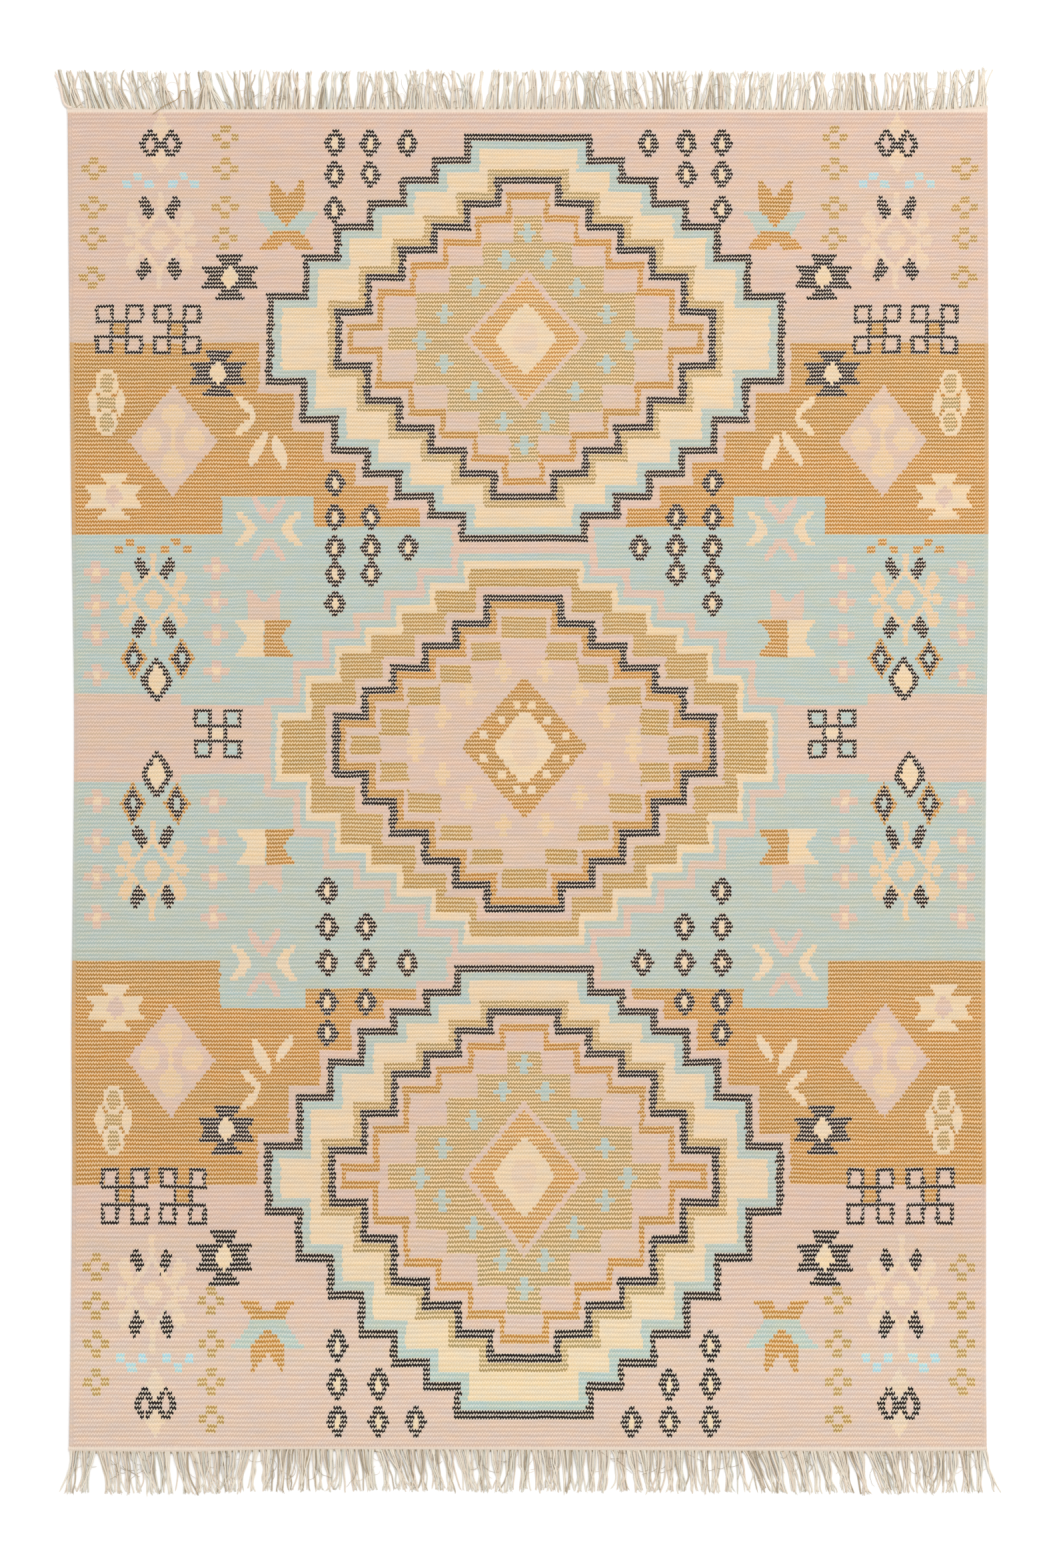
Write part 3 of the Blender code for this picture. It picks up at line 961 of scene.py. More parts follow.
def weave_cloth(cloth, colours):
    """The cloth between its headings, with weft ribs on both faces and its yarns turning at the selvedges."""
    cells = make_chart()
    shades = row_colours(colours, SHADE_SEED)
    lines = list(range(2 * HEADING_ROWS, 2 * (WEFT_ROWS - HEADING_ROWS) + 1))
    work = Sheetwork()
    sheets = {1: {}, -1: {}}
    half = cloth.thickness / 2
    for line in lines:
        y = row_place(line / 2)
        middle = read_between(MIDDLES, "across", LENGTH / 2 - y)
        crest = line % 2 == 1
        scallop = cloth.scallop if crest else -cloth.scallop
        left = (-half_width(-1, y) - scallop - middle) / WARP_PITCH
        right = (half_width(1, y) + scallop - middle) / WARP_PITCH
        row = line // 2
        above = cells[row if crest else max(row - 1, 0)]
        below = cells[min(row, WEFT_ROWS - 1)]
        inner = line_columns(above, below, left, right)
        places = [left, left + SELVEDGE_TURN, left + SELVEDGE_WARPS] + inner
        places += [right - SELVEDGE_WARPS, right - SELVEDGE_TURN, right]
        tall = half if crest else half - cloth.rib
        rounded = [tall * part for part in SELVEDGE_HEIGHTS]
        heights = rounded + [tall] * (len(places) - 2 * len(rounded)) + rounded[::-1]
        across = np.array(places) * WARP_PITCH + middle
        ease = min(1, (LENGTH / 2 - abs(y)) / STRAIGHT_END)
        shift = wave(across, y, WAVE_SEED) * cloth.waviness * ease
        keys = [*LEFT_KEYS, *inner, *RIGHT_KEYS]
        for face_side, sheet in sheets.items():
            first = len(work.points)
            for x, dy, high in zip(across, shift, heights):
                work.points.append((x, y + dy, half + face_side * high))
            sheet[line] = (keys, places, first)
    for face_side, sheet in sheets.items():
        for line in lines[:-1]:
            add_half_row(work, sheet, line, face_side, cells, shades)
    close_edges(work, sheets, lines, cells, shades)
    return work.build("woven_rug", make_weave_material(cloth))


# The flat map of the cloth: its left and foot edges and its height in metres, where the smaller copy of
# the back starts and how small it is, and where the edges lie
MAP_LEFT = 0.69
MAP_FOOT = 0.99
MAP_SPAN = 1.98
BACK_START = 0.70
BACK_SIZE = 0.42
EDGE_START = 0.985


def bake_point(point, face_side):
    """Where a point of the cloth lies on the flat map."""
    across = (point[0] + MAP_LEFT) / MAP_SPAN
    along = (point[1] + MAP_FOOT) / MAP_SPAN
    if face_side > 0:
        return (across, along)
    return (BACK_START + across * BACK_SIZE, along * BACK_SIZE)


def add_half_row(work, sheet, line, face_side, cells, shades):
    """The faces between a crest line and a valley line, one for each run of a yarn."""
    crest_first = line % 2 == 1
    crest, valley = (line, line + 1) if crest_first else (line + 1, line)
    row = crest // 2
    crest_keys, crest_places, crest_start = sheet[crest]
    valley_keys, valley_places, valley_start = sheet[valley]
    spots = {key: number for number, key in enumerate(valley_keys)}
    for number in range(len(crest_keys) - 1):
        start, stop = crest_keys[number], crest_keys[number + 1]
        inside = (crest_places[number] + crest_places[number + 1]) / 2
        yarn = cells[row, CHART_HALF + math.floor(inside)]
        colour, pale = shades[row, yarn]
        share = EXTRA_SHARE.get(yarn, 0.0)
        if isinstance(start, str) and isinstance(stop, str):
            pale = colour = colour * TURN_MAIN + pale * TURN_PALE
        corners = [crest_start + number, crest_start + number + 1]
        marks = [(crest_places[number] / 2, crest / 2), (crest_places[number + 1] / 2, crest / 2)]
        for spot in range(spots[stop], spots[start] - 1, -1):
            corners.append(valley_start + spot)
            marks.append((valley_places[spot] / 2, valley / 2))
        if (crest_first and face_side > 0) or (not crest_first and face_side < 0):
            corners.reverse()
            marks.reverse()
        bake = [bake_point(work.points[corner], face_side) for corner in corners]
        work.face(corners, marks, bake, (*colour, share), (*pale, 1.0))


def close_edges(work, sheets, lines, cells, shades):
    """Joins the face to the back along the selvedges and at both ends."""
    for line in lines[:-1]:
        row = min(line // 2, WEFT_ROWS - 1)
        for key, flip, inside in ((LEFT_KEYS[0], False, 3), (RIGHT_KEYS[-1], True, -4)):
            corners = []
            for face_side, at in ((1, line), (1, line + 1), (-1, line + 1), (-1, line)):
                keys, places, first = sheets[face_side][at]
                corners.append(first + keys.index(key))
            beside = sheets[1][line][1][inside]
            yarn = cells[row, CHART_HALF + math.floor(beside)]
            add_edge(work, corners, flip, shades[row, yarn, 0])
    for line, flip in ((lines[0], False), (lines[-1], True)):
        places, top = sheets[1][line][1:]
        bottom = sheets[-1][line][2]
        row = min(line // 2, WEFT_ROWS - 1)
        for number in range(len(places) - 1):
            corners = [top + number + 1, top + number, bottom + number, bottom + number + 1]
            inside = (places[number] + places[number + 1]) / 2
            yarn = cells[row, CHART_HALF + math.floor(inside)]
            add_edge(work, corners, flip, shades[row, yarn, 0])


def add_edge(work, corners, flip, colour):
    """One narrow face that closes the cloth's edge."""
    if flip:
        corners = corners[::-1]
    marks = []
    bake = []
    for x, y, z in (work.points[corner] for corner in corners):
        marks.append((x / WARP_PITCH / 2, z * 100))
        bake.append((EDGE_START + z, (y + MAP_FOOT) / MAP_SPAN))
    work.face(corners, marks, bake, (*colour, 0.0), (*colour, 1.0))


def root_places(fringe, count):
    """The middle of each root, evenly spaced from selvedge to selvedge."""
    edge_y = fringe.end * LENGTH / 2
    left = -half_width(-1, edge_y)
    right = half_width(1, edge_y)
    pitch = (right - left) / count
    return [left + pitch * (index + 0.5) for index in range(count)]


def add_tube(work, path, radii, sides, colour, bake_row, turns=260.0):
    """A round yarn along a path of points, closed at both ends."""
    first = len(work.points)
    path = np.array(path)
    ahead = np.gradient(path, axis=0)
    ahead /= np.linalg.norm(ahead, axis=1)[:, None]
    side = np.cross(ahead, (0, 0, 1))
    side /= np.linalg.norm(side, axis=1)[:, None]
    up = np.cross(side, ahead)
    run = np.concatenate(([0], np.cumsum(np.linalg.norm(np.diff(path, axis=0), axis=1))))
    for point, out, high, radius in zip(path, side, up, radii):
        for step in range(sides):
            angle = math.tau * step / sides
            work.points.append(tuple(point + (out * math.cos(angle) + high * math.sin(angle)) * radius))
    for number in range(len(path) - 1):
        near = first + number * sides
        low, far = run[number], run[number + 1]
        for step in range(sides):
            after = (step + 1) % sides
            corners = [near + step, near + after, near + sides + after, near + sides + step]
            spots = ((step, low), (step + 1, low), (step + 1, far), (step, far))
            marks = [(around / sides, along * turns) for around, along in spots]
            bake = [(bake_row + around / sides * 0.0016, 0.02 + along * 6) for around, along in spots]
            work.face(corners, marks, bake, colour, colour)
    for start, order in ((first, -1), (first + (len(path) - 1) * sides, 1)):
        corners = [start + step for step in range(sides)][::order]
        work.face(corners, [(0.5, 0.0)] * sides, [(bake_row, 0.01)] * sides, colour, colour)


# The heading's section, from the cloth outwards: the share of its width, and its height
HEADING_PROFILE = (
    (0.0, 0.0004), (0.0, 0.0047), (0.25, 0.0050), (0.55, 0.0051),
    (0.85, 0.0044), (1.0, 0.0030), (1.0, 0.0006),
)
HEADING_SLANT = 0.0007
# How low every second turn of the heading lies, and how much painted shade darkens it as it lies lower
HEADING_DIP = 0.86
HEADING_DIP_SHADE = 0.93


def add_heading(work, fringe, sizes, colours):
    """The twined heading that the warp ends leave the cloth through."""
    end = fringe.end
    inner_row = HEADING_ROWS if end == HEAD else WEFT_ROWS - HEADING_ROWS
    inner_y = row_place(inner_row) - end * HEADING_LAP
    places = root_places(fringe, sizes.stitches * 2)
    edge_y = end * LENGTH / 2
    places = [-half_width(-1, edge_y)] + places + [half_width(1, edge_y)]
    first = len(work.points)
    for number, across in enumerate(places):
        outer_y = end * (LENGTH / 2 + read_between(fringe.edge, "out", across))
        dip = 1.0 if number % 2 else HEADING_DIP
        for part, height in HEADING_PROFILE:
            slant = HEADING_SLANT * (1 if number % 2 else -1) * math.sin(part * math.pi)
            out = (outer_y - inner_y) * part * (1 if part < 1 else dip)
            work.points.append((across + slant, inner_y + out, height * dip))
    count = len(HEADING_PROFILE)
    shade = to_linear(colours.heading)
    for number in range(len(places) - 1):
        # Painted shade: every second turn, which lies lower, is darkened
        tone = shade * (1.0 if number % 2 else HEADING_DIP_SHADE)
        for step in range(count):
            after = (step + 1) % count
            near = first + number * count
            corners = [near + step, near + after, near + count + after, near + count + step]
            if end == FOOT:
                corners.reverse()
            marks = [(number / 2, step / count), (number / 2, (step + 1) / count)] * 2
            bake = [(0.02 + work.points[corner][0] / 3 + 0.24, 0.97 + step * 0.003) for corner in corners]
            work.face(corners, marks, bake, tone, tone)
    for start, flip in ((first, end == HEAD), (first + (len(places) - 1) * count, end == FOOT)):
        corners = [start + step for step in range(count)]
        if flip:
            corners.reverse()
        work.face(corners, [(0.5, 0.5)] * count, [(0.5, 0.99)] * count, shade, shade)


# How many yarns leave the heading together
YARNS_TOGETHER = (4, 4, 4, 5)
# How high a yarn leaves the heading, and how quickly it comes down to the floor
ROOT_HEIGHT = 0.0031
ROOT_FALL = 14
# A yarn starts this far inside the heading
ROOT_INSIDE = 0.0015


def yarn_roots(fringe, draw):
    """Where the yarns leave the heading: four or five together, with a small gap before the next few."""
    roots = []
    for middle in root_places(fringe, LOCKS):
        count = draw.choice(YARNS_TOGETHER)
        roots += [middle + (number - (count - 1) / 2) * YARN_PITCH for number in range(count)]
    return roots


def lay_yarn(fringe, sizes, draw, tuft, before, root):
    """The path of one yarn: it leaves its root, gathers at its tuft's waist and spreads again to its tip."""
    left, right = before / 1000, tuft.root / 1000
    place = (root - left) / (right - left) * 2 - 1
    tip_place = place
    layer = draw.choice((0, 0, 1))
    tip = tuft.tip / 1000
    chance = draw.random()
    if chance < sizes.crossing:
        tip_place = -place * draw.uniform(0.2, 1.0)
        layer = 2
    elif chance < sizes.crossing * 1.5:
        tip += draw.choice((-1, 1)) * draw.uniform(0.004, 0.013)
        layer = 2
    tip += tip_place * tuft.spread / 1000 + draw.gauss(0, sizes.stray)
    narrow = min((right - left) * 0.30, tuft.spread / 1000)
    waist = (left + right) * 0.21 + tuft.tip / 1000 * 0.58 + place * narrow + draw.gauss(0, sizes.stray * 0.5)
    pull = waist + (waist - (root + tip) / 2) * 0.5
    swing = draw.uniform(0.3, 1.0) ** 2 * sizes.curl * draw.choice((-1, 1))
    phase = draw.uniform(0, math.tau)
    waves = draw.uniform(0.8, 2.2)
    radius = sizes.yarn_thickness / 2 * draw.uniform(0.82, 1.12)
    edge_y = fringe.end * (LENGTH / 2 + read_between(fringe.edge, "out", root))
    reach = fringe.reach + draw.gauss(0, 0.5) * fringe.spread
    path = []
    radii = []
    for step in range(sizes.steps + 1):
        part = step / sizes.steps
        across = (1 - part) ** 2 * root + 2 * part * (1 - part) * pull + part * part * tip
        across += swing * math.sin(phase + part * waves * math.tau) * part**0.5
        rest = radius * 1.02 + layer * radius * 1.2 * math.sin(min(part * 1.3 + 0.1, 1) * math.pi)
        height = rest + (ROOT_HEIGHT - rest) * math.exp(-part * ROOT_FALL)
        out = reach * part - ROOT_INSIDE * (1 - part)
        path.append((across, edge_y + fringe.end * out, max(height, radius)))
        radii.append(radius * (1 - 0.12 * part) * (0.45 if step == sizes.steps else 1.0))
    return path, radii


# Sections of a fray, a loose wisp and the small dark stub of painted shade in the gap between two locks
FRAY_RADII = (0.0006, 0.0005, 0.0002)
FRAY_LOWEST = 0.0007
WISP_RADIUS = 0.00035
WISP_POINTS = 9
WISP_STEP = 0.0036
GAP_SHADE_RADII = (0.0007, 0.0009, 0.0004)
# Where the small things of a fringe lie on its flat map
WISP_MAP = 0.955
GAP_SHADE_MAP = 0.960
CORD_MAP = 0.963
STRAY_MAP = 0.966


def add_frays(work, draw, path, colour, bake_row, count):
    """Loose fibres that spread from a yarn's tip."""
    for _ in range(count):
        start = np.array(path[-2])
        aim = np.array(path[-1]) - np.array(path[-3])
        aim = aim / np.linalg.norm(aim)
        away = np.array((aim[0] + draw.uniform(-0.4, 0.4), aim[1], 0.0))
        length = draw.uniform(0.004, 0.008)
        fray = [start + away * length * part for part in (0, 0.5, 1)]
        for point in fray:
            point[2] = max(FRAY_LOWEST, path[-1][2] * draw.uniform(0.5, 1.0))
        add_tube(work, fray, FRAY_RADII, 3, colour, bake_row)


def add_wisp(work, fringe, draw, roots, colour):
    """One fine curly fibre that has worked loose among the yarns."""
    across = draw.choice(roots)
    along = draw.uniform(0.0, fringe.reach * 0.5)
    edge_y = fringe.end * LENGTH / 2
    aim = draw.uniform(0.2, 2.9)
    bend = draw.uniform(-0.5, 0.5)
    path = []
    for step in range(WISP_POINTS):
        path.append((across, edge_y + fringe.end * along, 0.0030 + 0.0012 * math.sin(step)))
        aim += bend + draw.uniform(-0.35, 0.35)
        across += WISP_STEP * math.cos(aim)
        along = min(max(along + WISP_STEP * math.sin(aim), 0.001), fringe.reach)
    add_tube(work, path, [WISP_RADIUS] * WISP_POINTS, 3, colour, WISP_MAP)


def add_cord(work, points, radius, colour, bake_row):
    """A thick cord of the head fringe through the points of a table."""
    ends = np.array(points, float) / 1000
    ends[:, 1] += LENGTH / 2
    count = len(points)
    spots = np.linspace(0, count - 1, count * 4)
    path = np.stack([np.interp(spots, range(count), ends[:, axis]) for axis in range(3)], axis=1)
    kernel = np.array((0.25, 0.5, 0.25))
    for _ in range(3):
        for axis in range(3):
            path[1:-1, axis] = np.convolve(path[:, axis], kernel, "valid")
    add_tube(work, path, np.linspace(radius, radius * 0.75, len(path)), 7, colour, bake_row, 420.0)


def spin_fringe(fringe, sizes, colours, material):
    """One fringe: the heading and several hundred plied yarns, gathered in tufts and lying on the floor."""
    work = Sheetwork()
    add_heading(work, fringe, sizes, colours)
    draw = random.Random(fringe.seed)
    light, warm, cool, dark, gap, cord, gold = (
        to_linear(getattr(colours, name))
        for name in ("cotton", "cotton_warm", "cotton_cool", "cotton_turn", "gap", "selvedge_cord", "stray")
    )
    tufts = [Tuft(*row) for row in (HEAD_TUFTS if fringe.end == HEAD else FOOT_TUFTS)]
    roots = yarn_roots(fringe, draw)
    start = -half_width(-1, fringe.end * LENGTH / 2) * 1000
    for number, root in enumerate(roots):
        spot = min(sum(root * 1000 > tuft.root for tuft in tufts), len(tufts) - 1)
        before = tufts[spot - 1].root if spot else start
        path, radii = lay_yarn(fringe, sizes, draw, tufts[spot], before, root)
        shade = draw.choice((light, light, warm, warm, cool, dark))
        colour = shade + (light - shade) * draw.uniform(0, 0.6)
        bake_row = 0.01 + 0.0015 * number
        add_tube(work, path, radii, sizes.sides, colour, bake_row)
        add_frays(work, draw, path, colour, bake_row, sizes.frays)
    for _ in range(sizes.wisps):
        add_wisp(work, fringe, draw, roots, draw.choice((warm, dark)))
    # Painted shade: a short dark tube in the gap between each two locks stands for the shade that falls there
    middles = root_places(fringe, LOCKS)
    for left, right in zip(middles, middles[1:]):
        across = (left + right) / 2
        edge_y = fringe.end * (LENGTH / 2 + read_between(fringe.edge, "out", across))
        outs = (-0.0010, 0.0004, draw.uniform(0.0016, 0.0030))
        shadow = [(across, edge_y + fringe.end * out, 0.0034 - out * 0.5) for out in outs]
        add_tube(work, shadow, GAP_SHADE_RADII, 4, gap * draw.uniform(0.8, 1.3), GAP_SHADE_MAP)
    if fringe.end == HEAD:
        add_cord(work, CORNER_CORD, 0.0022, cord, CORD_MAP)
        add_cord(work, STRAY_YARN, 0.0007, gold, STRAY_MAP)
    return work.build(fringe.node + "_yarns", material)


def in_metres(name, use, default, high, low=0.0):
    """A size property in metres."""
    return bpy.props.FloatProperty(
        name=name, description=use, default=default,
        min=low, max=high, subtype="DISTANCE", unit="LENGTH")


def as_share(name, use, default, high, low=0.0):
    """A property that is a share of a whole."""
    return bpy.props.FloatProperty(
        name=name, description=use, default=default, min=low, max=high, subtype="FACTOR")


def as_count(name, use, default, high, low=0):
    """A property that counts things."""
    return bpy.props.IntProperty(name=name, description=use, default=default, min=low, max=high)


class RugClothSizes(bpy.types.PropertyGroup):
    """Sizes of the woven cloth"""

    thickness: in_metres("Thickness", "From the underside to the crest of a weft row", 0.0060, 0.012, 0.003)
    rib: in_metres("Rib Depth", "How deep the valley between two weft rows lies", 0.0007, 0.003)
    scallop: in_metres(
        "Selvedge Scallop", "How far the weft turns stand out at the selvedges", 0.00015, 0.002)
    waviness: in_metres("Row Waviness", "How far the weft rows wander from straight lines", 0.0008, 0.004)
    relief: in_metres("Pick Relief", "Height of a single pick in the surface", 0.0003, 0.003)
    zigzag: as_share("Zigzag", "How far a pick swings between two warps, as a share of a row", 0.18, 0.4)
    bead: as_share("Bead", "How much a pick swells over a warp, as a share of a row", 0.08, 0.2)
    pick_share: as_share("Coloured Share", "Share of a row that its coloured pick takes", 0.57, 0.9, 0.2)
    # Crease sets the painted shade that darkens the seam between two picks and the dive of a pick under a
    # warp
    painted_crease_shade: as_share("Crease", "How dark the seam between two picks is", 0.08, 0.6)


class RugFringeSizes(bpy.types.PropertyGroup):
    """Sizes of the fringes"""

    stitches: as_count("Heading Stitches", "Number of turns in each heading", 470, 700, 50)
    yarn_thickness: in_metres("Yarn Thickness", "Diameter of one yarn", 0.0022, 0.005, 0.0005)
    curl: in_metres("Curl", "How far a yarn swings to its sides", 0.0024, 0.005)
    stray: in_metres("Stray", "How far a yarn's tip may lie from its place in the tuft", 0.0018, 0.01)
    crossing: as_share("Crossing", "Share of the yarns that cross their neighbours", 0.30, 0.6)
    wisps: as_count("Wisps", "Fine fibres that lie loose in each fringe", 120, 300)
    steps: as_count("Steps", "Bends along each yarn", 12, 30, 4)
    sides: as_count("Sides", "Sides of each round yarn", 6, 12, 3)
    frays: as_count("Frayed Ends", "Loose fibres at each yarn's tip", 1, 4)


def display_colour(name, red, green, blue, use):
    """A colour property from display values out of 255."""
    return bpy.props.FloatVectorProperty(
        name=name, description=use, default=(red / 255, green / 255, blue / 255),
        size=3, min=0.0, max=1.0, subtype="COLOR_GAMMA")


class RugColours(bpy.types.PropertyGroup):
    """Colours of the yarns, as they look on a screen"""

    pink: display_colour("Pink", 201, 171, 154, "Weft of the end fields")
    pink_turn: display_colour("Pink, By Turns", 197, 172, 150, "The shade that pink rows lean to")
    pink_pale: display_colour("Beside Pink", 221, 195, 178, "Pale pick beside pink")
    mustard: display_colour("Mustard", 174, 119, 50, "Weft of the two deep bands")
    mustard_turn: display_colour("Mustard, By Turns", 162, 118, 56, "The shade that mustard rows lean to")
    mustard_pale: display_colour("Beside Mustard", 225, 190, 146, "Pale pick beside mustard")
    sky: display_colour("Sky", 164, 179, 171, "Weft of the two light blue bands")
    sky_turn: display_colour("Sky, By Turns", 168, 176, 163, "The shade that sky rows lean to")
    sky_pale: display_colour("Beside Sky", 200, 202, 190, "Pale pick beside sky")
    khaki: display_colour("Khaki", 164, 134, 84, "Weft of the medallion cores")
    khaki_turn: display_colour("Khaki, By Turns", 158, 136, 92, "The shade that khaki rows lean to")
    khaki_pale: display_colour("Beside Khaki", 232, 204, 164, "Pale pick beside khaki")
    cream: display_colour("Cream", 214, 188, 150, "Weft of the light motifs")
    cream_turn: display_colour("Cream, By Turns", 214, 190, 160, "The shade that cream rows lean to")
    cream_pale: display_colour("Beside Cream", 228, 206, 176, "Pale pick beside cream")
    black: display_colour("Black", 26, 19, 15, "Weft of the outlines")
    black_turn: display_colour("Black, By Turns", 36, 26, 21, "The shade that black rows lean to")
    black_pale: display_colour("Beside Black", 226, 208, 190, "Pale pick beside black")
    orange: display_colour("Orange", 186, 132, 66, "Weft of the small middle diamonds")
    orange_turn: display_colour("Orange, By Turns", 176, 128, 66, "The shade that orange rows lean to")
    orange_pale: display_colour("Beside Orange", 232, 202, 160, "Pale pick beside orange")
    pale: display_colour("Pale Straw", 212, 184, 154, "Weft of the faint motifs")
    pale_turn: display_colour("Pale Straw, By Turns", 208, 184, 160, "The shade that straw rows lean to")
    pale_pale: display_colour("Beside Pale Straw", 226, 202, 178, "Pale pick beside straw")
    rose: display_colour("Rose", 212, 182, 144, "Weft of the flowers on the pink diamonds")
    rose_turn: display_colour("Rose, By Turns", 210, 180, 138, "The shade that rose rows lean to")
    rose_pale: display_colour("Beside Rose", 226, 200, 172, "Pale pick beside rose")
    straw: display_colour("Straw", 162, 126, 66, "Weft of the straw-coloured motifs")
    straw_turn: display_colour("Straw, By Turns", 170, 134, 78, "The shade that straw motif rows lean to")
    straw_pale: display_colour("Beside Straw", 222, 196, 156, "Pale pick beside the straw-coloured motifs")
    ice: display_colour("Light Blue", 156, 194, 200, "Weft of the small blue blocks")
    ice_turn: display_colour("Light Blue, By Turns", 164, 194, 196, "The shade that light blue rows lean to")
    ice_pale: display_colour("Beside Light Blue", 208, 206, 196, "Pale pick beside light blue")
    heading: display_colour("Heading", 229, 213, 197, "The twined heading at both ends")
    heading_turn: display_colour("Heading, By Turns", 226, 209, 193, "The shade that heading rows lean to")
    heading_pale: display_colour("Beside Heading", 232, 218, 200, "Pale pick beside the heading")
    cotton: display_colour("Cotton", 228, 219, 203, "Light warp yarn of the fringes")
    cotton_warm: display_colour("Cotton, Pinkish", 218, 201, 182, "Warm warp yarn of the fringes")
    cotton_cool: display_colour("Cotton, Greyish", 206, 203, 189, "Cool warp yarn of the fringes")
    cotton_turn: display_colour("Cotton, Tan", 170, 153, 127, "Dark warp yarn of the fringes")
    # Gap is the colour of the painted shade in the small gaps between locks at the heading
    gap: display_colour("Gap", 158, 140, 112, "Small dark gaps at the heading")
    selvedge_cord: display_colour("Selvedge Cord", 232, 214, 198, "The thick cord at one corner")
    stray: display_colour("Stray Yarn", 172, 146, 106, "The twisted yarn that lies over the head heading")
    floor: display_colour("Floor", 246, 246, 246, "The plain floor")


class RUG_OT_stage(bpy.types.Operator):
    """Lays the plain floor and sets the lights and the camera that looks straight down"""

    bl_idname = "rug.stage"
    bl_label = "Stage"

    def execute(self, context):
        set_stage(context, context.scene.rug_colours)
        return {"FINISHED"}


class RUG_OT_cloth(bpy.types.Operator):
    """Weaves the cloth of the rug from its chart"""

    bl_idname = "rug.cloth"
    bl_label = "Woven Cloth"

    def execute(self, context):
        rug = weave_cloth(context.scene.rug_cloth, context.scene.rug_colours)
        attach(rug, "root")
        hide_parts("woven_field")
        return {"FINISHED"}


class RUG_OT_fringes(bpy.types.Operator):
    """Spins the yarns of both fringes and joins them to the cloth"""

    bl_idname = "rug.fringes"
    bl_label = "Fringes"

    def execute(self, context):
        rug = bpy.data.objects.get("woven_rug")
        if rug is None:
            raise RuntimeError("weave the cloth before its fringes")
        scene = context.scene
        material = make_cotton_material()
        for fringe in FRINGES:
            yarns = spin_fringe(fringe, scene.rug_fringe, scene.rug_colours, material)
            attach(yarns, "root")
            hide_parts(fringe.node)
        return {"FINISHED"}


class RUG_PT_maker(bpy.types.Panel):
    """Lists what the rug is made of"""

    bl_idname = "RUG_PT_maker"
    bl_label = "Handwoven Rug"
    bl_space_type = "VIEW_3D"
    bl_region_type = "UI"
    bl_category = "Rug"

    def draw(self, context):
        layout = self.layout
        scene = context.scene
        groups = (
            ("Cloth", scene.rug_cloth),
            ("Fringes", scene.rug_fringe),
            ("Colours", scene.rug_colours),
        )
        for title, group in groups:
            box = layout.box()
            box.label(text=title)
            for name in group.__annotations__:
                box.prop(group, name)
        layout.operator(RUG_OT_stage.bl_idname)
        layout.operator(RUG_OT_cloth.bl_idname)
        layout.operator(RUG_OT_fringes.bl_idname)


# The photograph's frame: how much floor it takes in from top to bottom, and where its middle lies
FRAME_HIGH = 2.2791
FRAME_CENTRE = (-0.0092, -0.0061)
LENS = 85.0
SENSOR = 36.0
CAMERA_REACH = 50.0
# The floor lies just under the rug
FLOOR_HALF = 3.0
FLOOR_DROP = 0.0003
# The room's own light, the broad key light and the window
ROOM_LIGHT = 0.80
KEY_FROM = (0.5, 1.0, 2.6)
KEY_POWER = 1.00
KEY_SPREAD = 0.6
WINDOW_PLACE = (1.3, 1.0, 2.8)
WINDOW_AIM = (0.2, 0.1, 0.0)
WINDOW_SIZE = 1.6
WINDOW_POWER = 24.0


def add_sun(name, direction, strength, spread):
    """A broad soft light that falls the same on the whole rug."""
    light = bpy.data.lights.new(name, "SUN")
    light.energy = strength
    light.angle = spread
    lamp = bpy.data.objects.new(name, light)
    lamp.location = direction
    lamp.rotation_euler = (-lamp.location).to_track_quat("-Z", "Y").to_euler()
    bpy.context.scene.collection.objects.link(lamp)


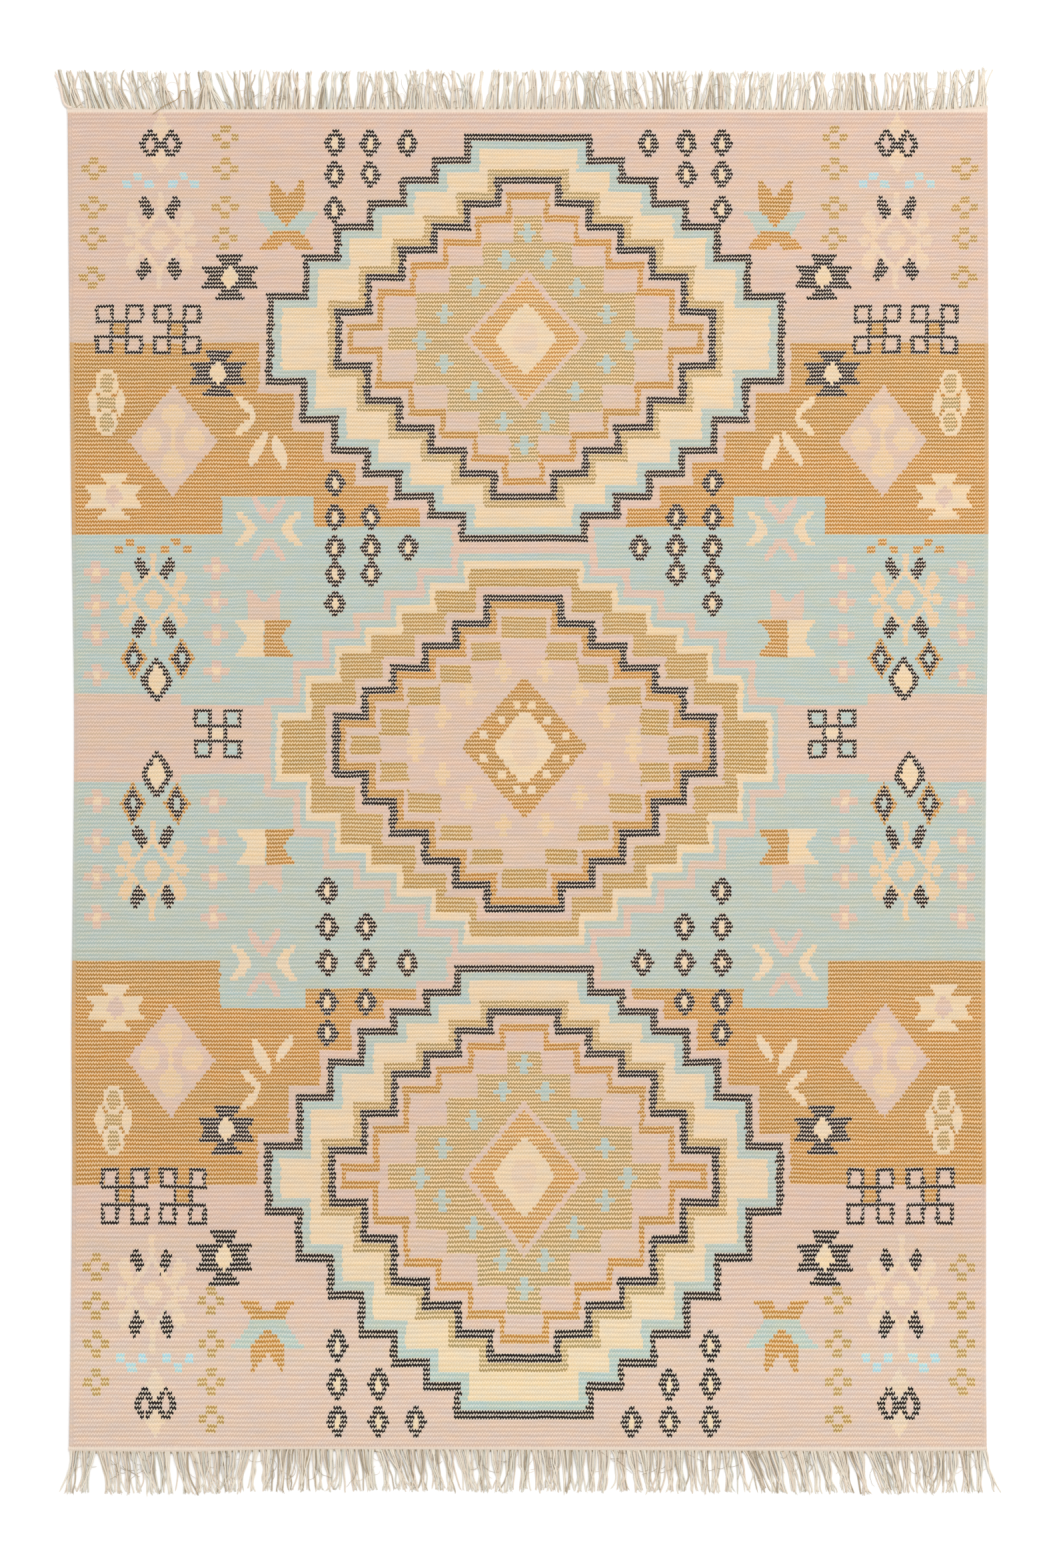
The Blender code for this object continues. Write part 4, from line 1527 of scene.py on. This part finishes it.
def set_stage(context, colours):
    """The floor, the lights and the camera."""
    scene = context.scene
    mesh = bpy.data.meshes.new("floor")
    around = ((-1, -1), (1, -1), (1, 1), (-1, 1))
    corners = [(x * FLOOR_HALF, y * FLOOR_HALF, -FLOOR_DROP) for x, y in around]
    mesh.from_pydata(corners, [], [(0, 1, 2, 3)])
    floor = bpy.data.objects.new("floor", mesh)
    scene.collection.objects.link(floor)
    graph = Graph("pale_floor")
    graph.shader.inputs["Base Color"].default_value = (*to_linear(colours.floor), 1.0)
    graph.shader.inputs["Roughness"].default_value = 0.8
    graph.shader.inputs["Specular IOR Level"].default_value = 0.1
    mesh.materials.append(graph.material)

    world = bpy.data.worlds.new("soft_room")
    world.use_nodes = True
    background = world.node_tree.nodes["Background"]
    background.inputs["Color"].default_value = (1.0, 1.0, 1.0, 1.0)
    background.inputs["Strength"].default_value = ROOM_LIGHT
    scene.world = world
    add_sun("soft_key", KEY_FROM, KEY_POWER, KEY_SPREAD)
    window = bpy.data.lights.new("window", "AREA")
    window.shape = "SQUARE"
    window.size = WINDOW_SIZE
    window.energy = WINDOW_POWER
    lamp = bpy.data.objects.new("window", window)
    lamp.location = WINDOW_PLACE
    aim = lamp.location - mathutils.Vector(WINDOW_AIM)
    lamp.rotation_euler = aim.to_track_quat("Z", "Y").to_euler()
    scene.collection.objects.link(lamp)
    scene.view_settings.view_transform = "Standard"
    scene.view_settings.look = "None"

    camera = bpy.data.objects.new("camera", bpy.data.cameras.new("camera"))
    camera.data.lens = LENS
    camera.data.sensor_width = SENSOR
    camera.data.sensor_fit = "AUTO"
    camera.data.clip_end = CAMERA_REACH
    camera.location = (*FRAME_CENTRE, LENS / SENSOR * FRAME_HIGH)
    camera.rotation_euler = (0.0, 0.0, 0.0)
    scene.collection.objects.link(camera)
    scene.camera = camera


CLASSES = (
    RugClothSizes,
    RugFringeSizes,
    RugColours,
    RUG_OT_stage,
    RUG_OT_cloth,
    RUG_OT_fringes,
    RUG_PT_maker,
)


def register():
    for cls in CLASSES:
        bpy.utils.register_class(cls)
    bpy.types.Scene.rug_cloth = bpy.props.PointerProperty(type=RugClothSizes)
    bpy.types.Scene.rug_fringe = bpy.props.PointerProperty(type=RugFringeSizes)
    bpy.types.Scene.rug_colours = bpy.props.PointerProperty(type=RugColours)


def unregister():
    del bpy.types.Scene.rug_colours
    del bpy.types.Scene.rug_fringe
    del bpy.types.Scene.rug_cloth
    for cls in reversed(CLASSES):
        bpy.utils.unregister_class(cls)


def main():
    register()
    bpy.ops.rug.stage()
    bpy.ops.rug.cloth()
    bpy.ops.rug.fringes()
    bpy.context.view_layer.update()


if __name__ == "__main__":
    main()
